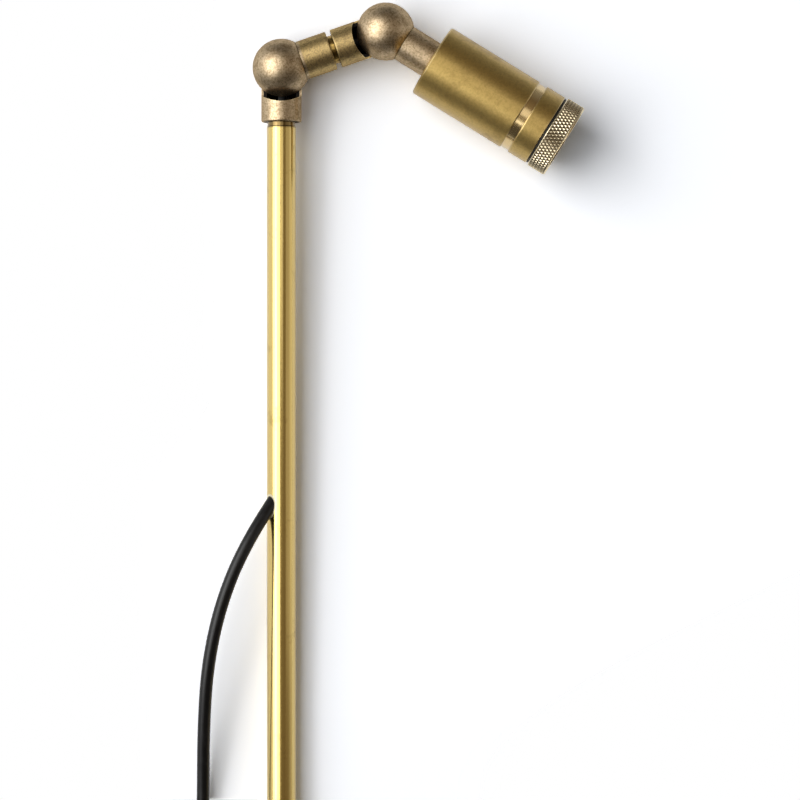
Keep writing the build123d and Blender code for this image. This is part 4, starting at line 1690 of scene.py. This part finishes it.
@dataclass(frozen=True)
class Bezel:
    """The knurled ring that screws on the front neck and holds the glass.

    around and pitch give the knurl's count and its rise, fineness the points in each
    groove, and rim_width and rim_depth the bevel inside its front.
    """

    rear: float = 0.10356
    length: float = 0.011
    radius: float = 0.0213
    bore: float = 0.01895
    opening: float = 0.017
    glass_front: float = 0.1126
    edge: float = 0.0003
    rear_land: float = 0.0003
    front_land: float = 0.0009
    rim_width: float = 0.0018
    rim_depth: float = 0.0009
    rim_edge: float = 0.0002
    around: int = 66
    pitch: float = 0.0035
    depth: float = 0.0005
    fineness: int = 10

    def knurl(self, angle: np.ndarray, height: np.ndarray) -> np.ndarray:
        """How deep the knurl cuts at an angle and a height.

        Two families of grooves cross: a = height / pitch + angle / step and
        b = height / pitch - angle / step are whole numbers in them. The surface rises from each groove in
        a straight line, so it is a field of pyramids whose tips are cut flat.

        Args:
            angle: the angle round the ring at each point.
            height: the height above the knurl's rear edge.

        Returns:
            The depth at each point.
        """
        step = 2 * math.pi / self.around
        a = height / self.pitch + angle / step
        b = height / self.pitch - angle / step
        rise = np.minimum(np.abs(a - np.round(a)), np.abs(b - np.round(b))) * 2
        return self.depth * (1 - np.minimum(rise * 1.25, 1.0))

    def build(self) -> None:
        """Makes the ring as a grid of rows, with the knurl cut into its outside rows."""
        front = self.rear + self.length
        low, high = self.rear + self.rear_land, front - self.front_land
        rows = int(round((high - low) / self.pitch * self.fineness * 2))
        outside = np.linspace(low, high, rows + 1)
        before = rounded(
            [
                (self.opening, self.glass_front),
                (self.bore, self.glass_front),
                (self.bore, self.rear),
                (self.radius - self.depth * 0.7, self.rear, 0.0001),
                (self.radius - self.depth * 0.3, low, 0.00005),
                (self.radius, low + 0.0004),
            ]
        )[:-1]
        after = rounded(
            [
                (self.radius - 0.0001, high + 0.00005),
                (self.radius - 0.0001, front, self.edge),
                (self.opening + self.rim_width, front, self.rim_edge),
                (self.opening, front - self.rim_depth, self.rim_edge),
                (self.opening, self.glass_front),
            ]
        )
        outline = before + [(self.radius, float(z)) for z in outside[1:-1]] + after[:-1]
        knurled = np.zeros(len(outline), bool)
        knurled[len(before):len(before) + len(outside) - 2] = True
        ring = revolved(outline, self.around * self.fineness)
        points = ring.points.reshape(len(outline), -1, 3)
        angle = np.arctan2(points[..., 1], points[..., 0])
        cut = self.knurl(angle, points[..., 2] - low) * knurled[:, None]
        shrink = 1 - cut / np.hypot(points[..., 0], points[..., 1])
        points[..., :2] *= shrink[..., None]
        surface = Surface(points.reshape(-1, 3), ring.faces, cut.ravel() / self.depth)
        fitted("knurled_bezel", surface, HEAD_PLACE, "bezel", KNURLED, "bezel_ring")


@dataclass(frozen=True)
class Lamp:
    """The lamp: a facetted reflector behind its cover, and the rim that seats it."""

    back: float = 0.0782
    seat: float = 0.1052
    front: float = 0.1082
    rim_radius: float = 0.01765
    throat: float = 0.01625
    base_radius: float = 0.008
    base_height: float = 0.008
    shell: float = 0.0015
    cover_radius: float = 0.01625
    cover_height: float = 0.0012
    collar: float = 0.0016
    step: float = 0.0006
    slack: float = 0.00005
    facets: int = 22
    rings: int = 6

    def bowl(self, radius: float, base: float, top: float, bottom: float, steps: int) -> list[Pair]:
        """A bowl's outline, whose radius swells from base to rim as the root of 1 - s to the power 1.6.

        Args:
            radius: the rim's radius.
            base: the base's radius.
            top: the rim's height.
            bottom: the base's height.
            steps: the number of pieces, where s goes from 0 at the rim to 1 at the base.

        Returns:
            Radius and height of each point, from the rim down.
        """
        share = np.linspace(0.0, 1.0, steps + 1)
        swell = base + (radius - base) * np.sqrt(1 - share**1.6)
        return [(float(r), float(top + (bottom - top) * s)) for r, s in zip(swell, share)]

    def build(self) -> None:
        """Makes the bowl with its flat facets inside, the cover and the lamp's hidden pieces."""
        bottom = self.back + self.base_height
        outside = self.bowl(self.throat, self.base_radius, self.seat - self.collar, bottom, 10)
        skin = [(0.0, self.back), (self.base_radius, self.back), *reversed(outside)]
        skin += [(self.throat, self.seat), (self.rim_radius, self.seat), (self.rim_radius, self.front)]
        skin += [(self.cover_radius, self.front), (self.cover_radius, self.front - self.cover_height)]
        shell = revolved(skin, 96, closed=False)
        lip = (self.throat - self.shell, self.front - self.cover_height)
        inside = [(self.cover_radius, lip[1]), lip]
        inside += self.bowl(lip[0], self.base_radius - self.shell, lip[1] - self.step, bottom, self.rings)
        inside.append((0.0, bottom))
        facets = revolved(inside, self.facets, closed=False)
        piece = made("reflector_lamp", shell.joined(facets).placed(HEAD_PLACE))
        piece.data.shade_flat()
        settle(piece, "head", REFLECTOR, "lamp_body")
        cover = bar(self.cover_radius, self.front - self.cover_height + self.slack, self.front)
        fitted("lamp_front_cover", cover, HEAD_PLACE, "head", FROSTED_GLASS, "lamp_cover")


@dataclass(frozen=True)
class HiddenPieces:
    """The pieces inside, which keep the frame's own shape."""

    def build(self) -> None:
        """Gives each hidden node its finish."""
        finishes: dict[Finish, tuple[str, ...]] = {
            LEAD_SILICONE: (
                "lead_in_pole",
                "lead_in_lower_joint",
                "lead_in_arm",
                "lead_in_upper_joint",
                "lead_in_head",
            ),
            SHRINK_SLEEVE: ("lead_splice",),
            WASHER_NYLON: ("lower_friction_washer", "upper_friction_washer"),
            STEEL: ("neck_washer", "lamp_ring"),
            POLISHED_BAND: ("neck_nut",),
            SEAL_RUBBER: ("neck_seal", "lead_seal"),
            CERAMIC: ("lamp_holder",),
        }
        for finish, nodes in finishes.items():
            for node in nodes:
                dress_node(node, finish)


@dataclass(frozen=True)
class Studio:
    """The camera, the white card behind, the ground, the lights and the world.

    The card fades out on its left, with more room where the cable hangs, and on its right,
    with more room below the head. card_bright is how white the eye sees it at the two ends
    of bright_span, so that it joins the white round it, cool evens out the warm light that
    the brass throws on it, and glow is what metal sees on top of its own light. The world's
    spans are ranges of a ray's direction: behind and left in Y and X, and dark in the
    distance from bright_height in Z.
    """

    view_width: float = 0.4354
    view_x: float = 0.0645
    view_z: float = 0.2722
    distance: float = 1.8
    sensor: float = 0.036
    card_left: float = -0.10
    card_right: float = 0.42
    card_top: float = 0.62
    card_near: float = 0.00815
    card_rise: float = 0.0085
    card_rise_start: float = 0.10
    card_rise_end: float = 0.44
    card_slant: float = 0.048
    left_fade: Pair = (-0.045, -0.02)
    cable_room: float = 0.035
    cable_zone: Pair = (0.28, 0.22)
    right_fade: Pair = (0.12, 0.08)
    head_room: Pair = (0.30, 0.20)
    head_zone: Pair = (0.06, 0.26)
    cable_low: Pair = (0.0515, 0.0555)
    pole_side: Pair = (-0.015, -0.011)
    top_fade: float = 0.08
    sheet_step: float = 0.0025
    ground_half: float = 0.45
    hank_zone: tuple[float, float, float, float] = (-0.28, -0.09, -0.05, 0.045)
    hank_fade: tuple[float, float, float, float] = (0.04, 0.015, 0.04, 0.02)
    glow: float = 0.1
    card_bright: Pair = (1.43, 1.66)
    bright_span: Pair = (0.0, 0.28)
    cool: Colour = (1.0, 1.02, 1.06)
    behind_span: Pair = (-0.55, 0.35)
    left_span: Pair = (-0.95, -0.35)
    bright_height: float = 0.22
    dark_span: Pair = (0.25, 0.75)
    dark_share: float = 0.2
    matt_share: float = 0.45
    back_tone: Colour = (0.88, 0.88, 0.88)
    front_matt: Colour = (0.13, 0.13, 0.135)
    front_shine: Colour = (0.20, 0.155, 0.105)

    def camera(self) -> None:
        """Sets the camera level, straight in front, with the photograph's frame."""
        data = bpy.data.cameras.new("camera")
        data.type = "PERSP"
        data.sensor_width = self.sensor * 1000
        data.lens = self.sensor * 1000 * self.distance / self.view_width
        camera = bpy.data.objects.new("camera", data)
        camera.location = (self.view_x, -self.distance, self.view_z)
        camera.rotation_euler = (math.radians(90), 0.0, 0.0)
        bpy.context.scene.collection.objects.link(camera)
        bpy.context.scene.camera = camera

    def sheet(self, name: str, points: np.ndarray, clear: np.ndarray, bright: Pair) -> bpy.types.Object:
        """A white stage sheet.

        Args:
            name: the sheet's name.
            points: its points, as a grid of rows.
            clear: how see-through it is at each point. Faces that are quite clear are left out.
            bright: how white it is to the eye at the pole and below the head.

        Returns:
            The sheet.
        """
        faces = np.array(grid_faces(*clear.shape, False, False))
        kept = faces[clear.ravel()[faces].min(axis=1) < 1.0]
        mesh = bpy.data.meshes.new(name)
        mesh.from_pydata(points.reshape(-1, 3).tolist(), [], kept.tolist())
        mesh.attributes.new(CLEAR, "FLOAT", "POINT").data.foreach_set("value", clear.ravel())
        mesh.shade_smooth()
        mesh.materials.append(self.white("white_" + name, bright))
        piece = bpy.data.objects.new(name, mesh)
        bpy.context.scene.collection.objects.link(piece)
        return piece

    def white(self, name: str, bright: Pair) -> bpy.types.Material:
        """Matt white that is seen from its front only, and is clear where the sheet's attribute says so.

        The eye sees it at the level that joins the white round it, and metal a little brighter
        than it is lit.

        Args:
            name: the material's name.
            bright: how white it is to the eye at the pole and below the head.

        Returns:
            The material.
        """
        material = bpy.data.materials.new(name)
        material.use_nodes = True
        graph = Graph(material.node_tree)
        path = graph.add("ShaderNodeLightPath").outputs
        across = graph.scaled(graph.part(graph.where(), "X"), *bright, *self.bright_span)
        eye = graph.mixed(1.0, across, self.cool, "MULTIPLY")
        tone = graph.mixed(path["Is Camera Ray"], (PAPER, PAPER, PAPER), eye)
        matt = graph.add("ShaderNodeBsdfDiffuse", None, {"Color": tone})
        power = graph.times(path["Is Glossy Ray"], self.glow)
        shine = graph.add("ShaderNodeEmission", None, {"Strength": power})
        lit = graph.add("ShaderNodeAddShader", None, {0: matt.outputs[0], 1: shine.outputs[0]})
        clear = graph.add("ShaderNodeBsdfTransparent")
        behind = graph.add("ShaderNodeNewGeometry").outputs["Backfacing"]
        faded = graph.add("ShaderNodeAttribute", {"attribute_name": CLEAR}).outputs["Fac"]
        share = graph.math("MAXIMUM", behind, faded)
        mix = graph.add("ShaderNodeMixShader", None, {0: share, 1: lit.outputs[0], 2: clear.outputs[0]})
        graph.add("ShaderNodeOutputMaterial", None, {"Surface": mix.outputs[0]})
        return material

    def spread(self, low: float, high: float) -> np.ndarray:
        """Evenly spaced places between two ends."""
        return np.linspace(low, high, int((high - low) / self.sheet_step))

    def card(self) -> None:
        """Stands the card close behind the light, where the photograph's shadows fall.

        Its surface is y = near + rise * share + slant * x * share, and share grows with the height as
        the power 1.1, so it lies against the pole below and clears the head above. It fades
        out round the shadows, so that it hides nothing that swings to the other side.
        """
        rows, columns = self.spread(GROUND, self.card_top), self.spread(self.card_left, self.card_right)
        z, x = np.meshgrid(rows, columns, indexing="ij")
        up = np.maximum(z - self.card_rise_start, 0.0) / (self.card_rise_end - self.card_rise_start)
        share = up**1.1
        y = self.card_near + self.card_rise * share + self.card_slant * x * share
        room = self.cable_room * eased(z, *self.cable_zone)
        left = eased(x, *(edge - room for edge in self.left_fade))
        swell = eased(z, *self.head_zone)
        right = eased(x, *(edge + more * swell for edge, more in zip(self.right_fade, self.head_room)))
        low = np.maximum(eased(z, *self.cable_low), eased(x, *self.pole_side))
        seen = left * right * low * eased(z, self.card_top, self.card_top - self.top_fade)
        self.sheet("card", np.stack([x, y, z], axis=-1), 1.0 - seen, self.card_bright)

    def ground(self) -> None:
        """Lays the ground, which shows the shadows round the hank and fades out where the spike stands."""
        half = self.ground_half
        y, x = np.meshgrid(self.spread(-half, half), self.spread(-half, half), indexing="ij")
        left, right, near, far = self.hank_zone
        fade = self.hank_fade
        seen = eased(x, left - fade[0], left) * eased(x, right + fade[1], right)
        seen = seen * eased(y, near - fade[2], near) * eased(y, far + fade[3], far)
        points = np.stack([x, y, np.full_like(x, GROUND)], axis=-1)
        sheet = self.sheet("ground", points, 1.0 - seen, (PAPER, PAPER))
        sheet.is_shadow_catcher = True

    def lamp(
        self,
        name: str,
        azimuth: float,
        elevation: float,
        distance: float,
        size: Pair,
        power: float,
    ) -> None:
        """A soft area light that faces the view's centre.

        Args:
            name: the light's name.
            azimuth: the way to it in degrees from the camera's side, where 90 is the right.
            elevation: degrees above the horizon.
            distance: how far it stands.
            size: its width and height.
            power: its power in watts.
        """
        data = bpy.data.lights.new(name, "AREA")
        data.shape, data.size, data.size_y, data.energy = "RECTANGLE", size[0], size[1], power
        light = bpy.data.objects.new(name, data)
        a, e = math.radians(azimuth), math.radians(elevation)
        way = np.array([math.sin(a) * math.cos(e), -math.cos(a) * math.cos(e), math.sin(e)])
        light.location = tuple(np.array([self.view_x, 0.0, self.view_z]) + way * distance)
        light.rotation_euler = (math.radians(90) - e, 0.0, a)
        light.visible_camera = False
        bpy.context.scene.collection.objects.link(light)

    def lights(self) -> None:
        """The large softbox on the left with its hot core and its spill, and a weak one on the right."""
        self.lamp("key_softbox", -40.0, 9.0, 2.0, (2.25, 2.6), 37.0)
        self.lamp("key_core", -44.0, 9.0, 1.9, (0.45, 2.2), 6.0)
        self.lamp("key_spill", 2.0, 14.0, 2.0, (0.7, 0.9), 1.5)
        self.lamp("fill_softbox", 62.0, 4.0, 2.0, (2.1, 0.9), 1.5)

    def world(self) -> None:
        """A white world for the eye and for glass. The rest sees a studio by direction.

        It is pale behind the light and on its left, dim and warm on the camera's side, and
        darker above and most of all below.
        """
        world = bpy.data.worlds.new("studio")
        world.use_nodes = True
        graph = Graph(world.node_tree)
        way = graph.where("Generated")
        behind = graph.scaled(graph.part(way, "Y"), 0.0, 1.0, *self.behind_span)
        left = graph.scaled(graph.part(way, "X"), 1.0, 0.0, *self.left_span)
        back = graph.math("MAXIMUM", behind, left)
        level = graph.math("ABSOLUTE", graph.minus(graph.part(way, "Z"), self.bright_height))
        height = graph.scaled(level, 1.0, self.dark_share, *self.dark_span)
        path = graph.add("ShaderNodeLightPath").outputs
        share = graph.scaled(path["Is Glossy Ray"], self.matt_share, 1.0)
        front = graph.mixed(path["Is Glossy Ray"], self.front_matt, self.front_shine)
        tone = graph.mixed(back, front, self.back_tone)
        dim = graph.add("ShaderNodeBackground", None, {"Color": tone, "Strength": graph.times(height, share)})
        white = graph.add("ShaderNodeBackground", None, {"Color": (1.0, 1.0, 1.0, 1.0), "Strength": 1.0})
        seen = graph.math("MAXIMUM", path["Is Camera Ray"], path["Is Transmission Ray"])
        mix = graph.add("ShaderNodeMixShader", None, {0: seen, 1: dim.outputs[0], 2: white.outputs[0]})
        graph.add("ShaderNodeOutputWorld", None, {"Surface": mix.outputs[0]})
        bpy.context.scene.world = world

    def build(self) -> None:
        """Sets the whole studio."""
        bpy.context.scene.view_settings.view_transform = "Standard"
        self.camera()
        self.card()
        self.ground()
        self.lights()
        self.world()


def main() -> None:
    """Builds the studio and every sub-assembly."""
    logging.basicConfig(level=logging.INFO, format="%(message)s")
    Studio().build()
    for assembly in (SupplyCable(), Pole(), GroundSpike(), Arm(), Head(), Bezel(), Lamp(), HiddenPieces()):
        assembly.build()
        log.info("%s is done", type(assembly).__name__)


if __name__ == "__main__":
    main()
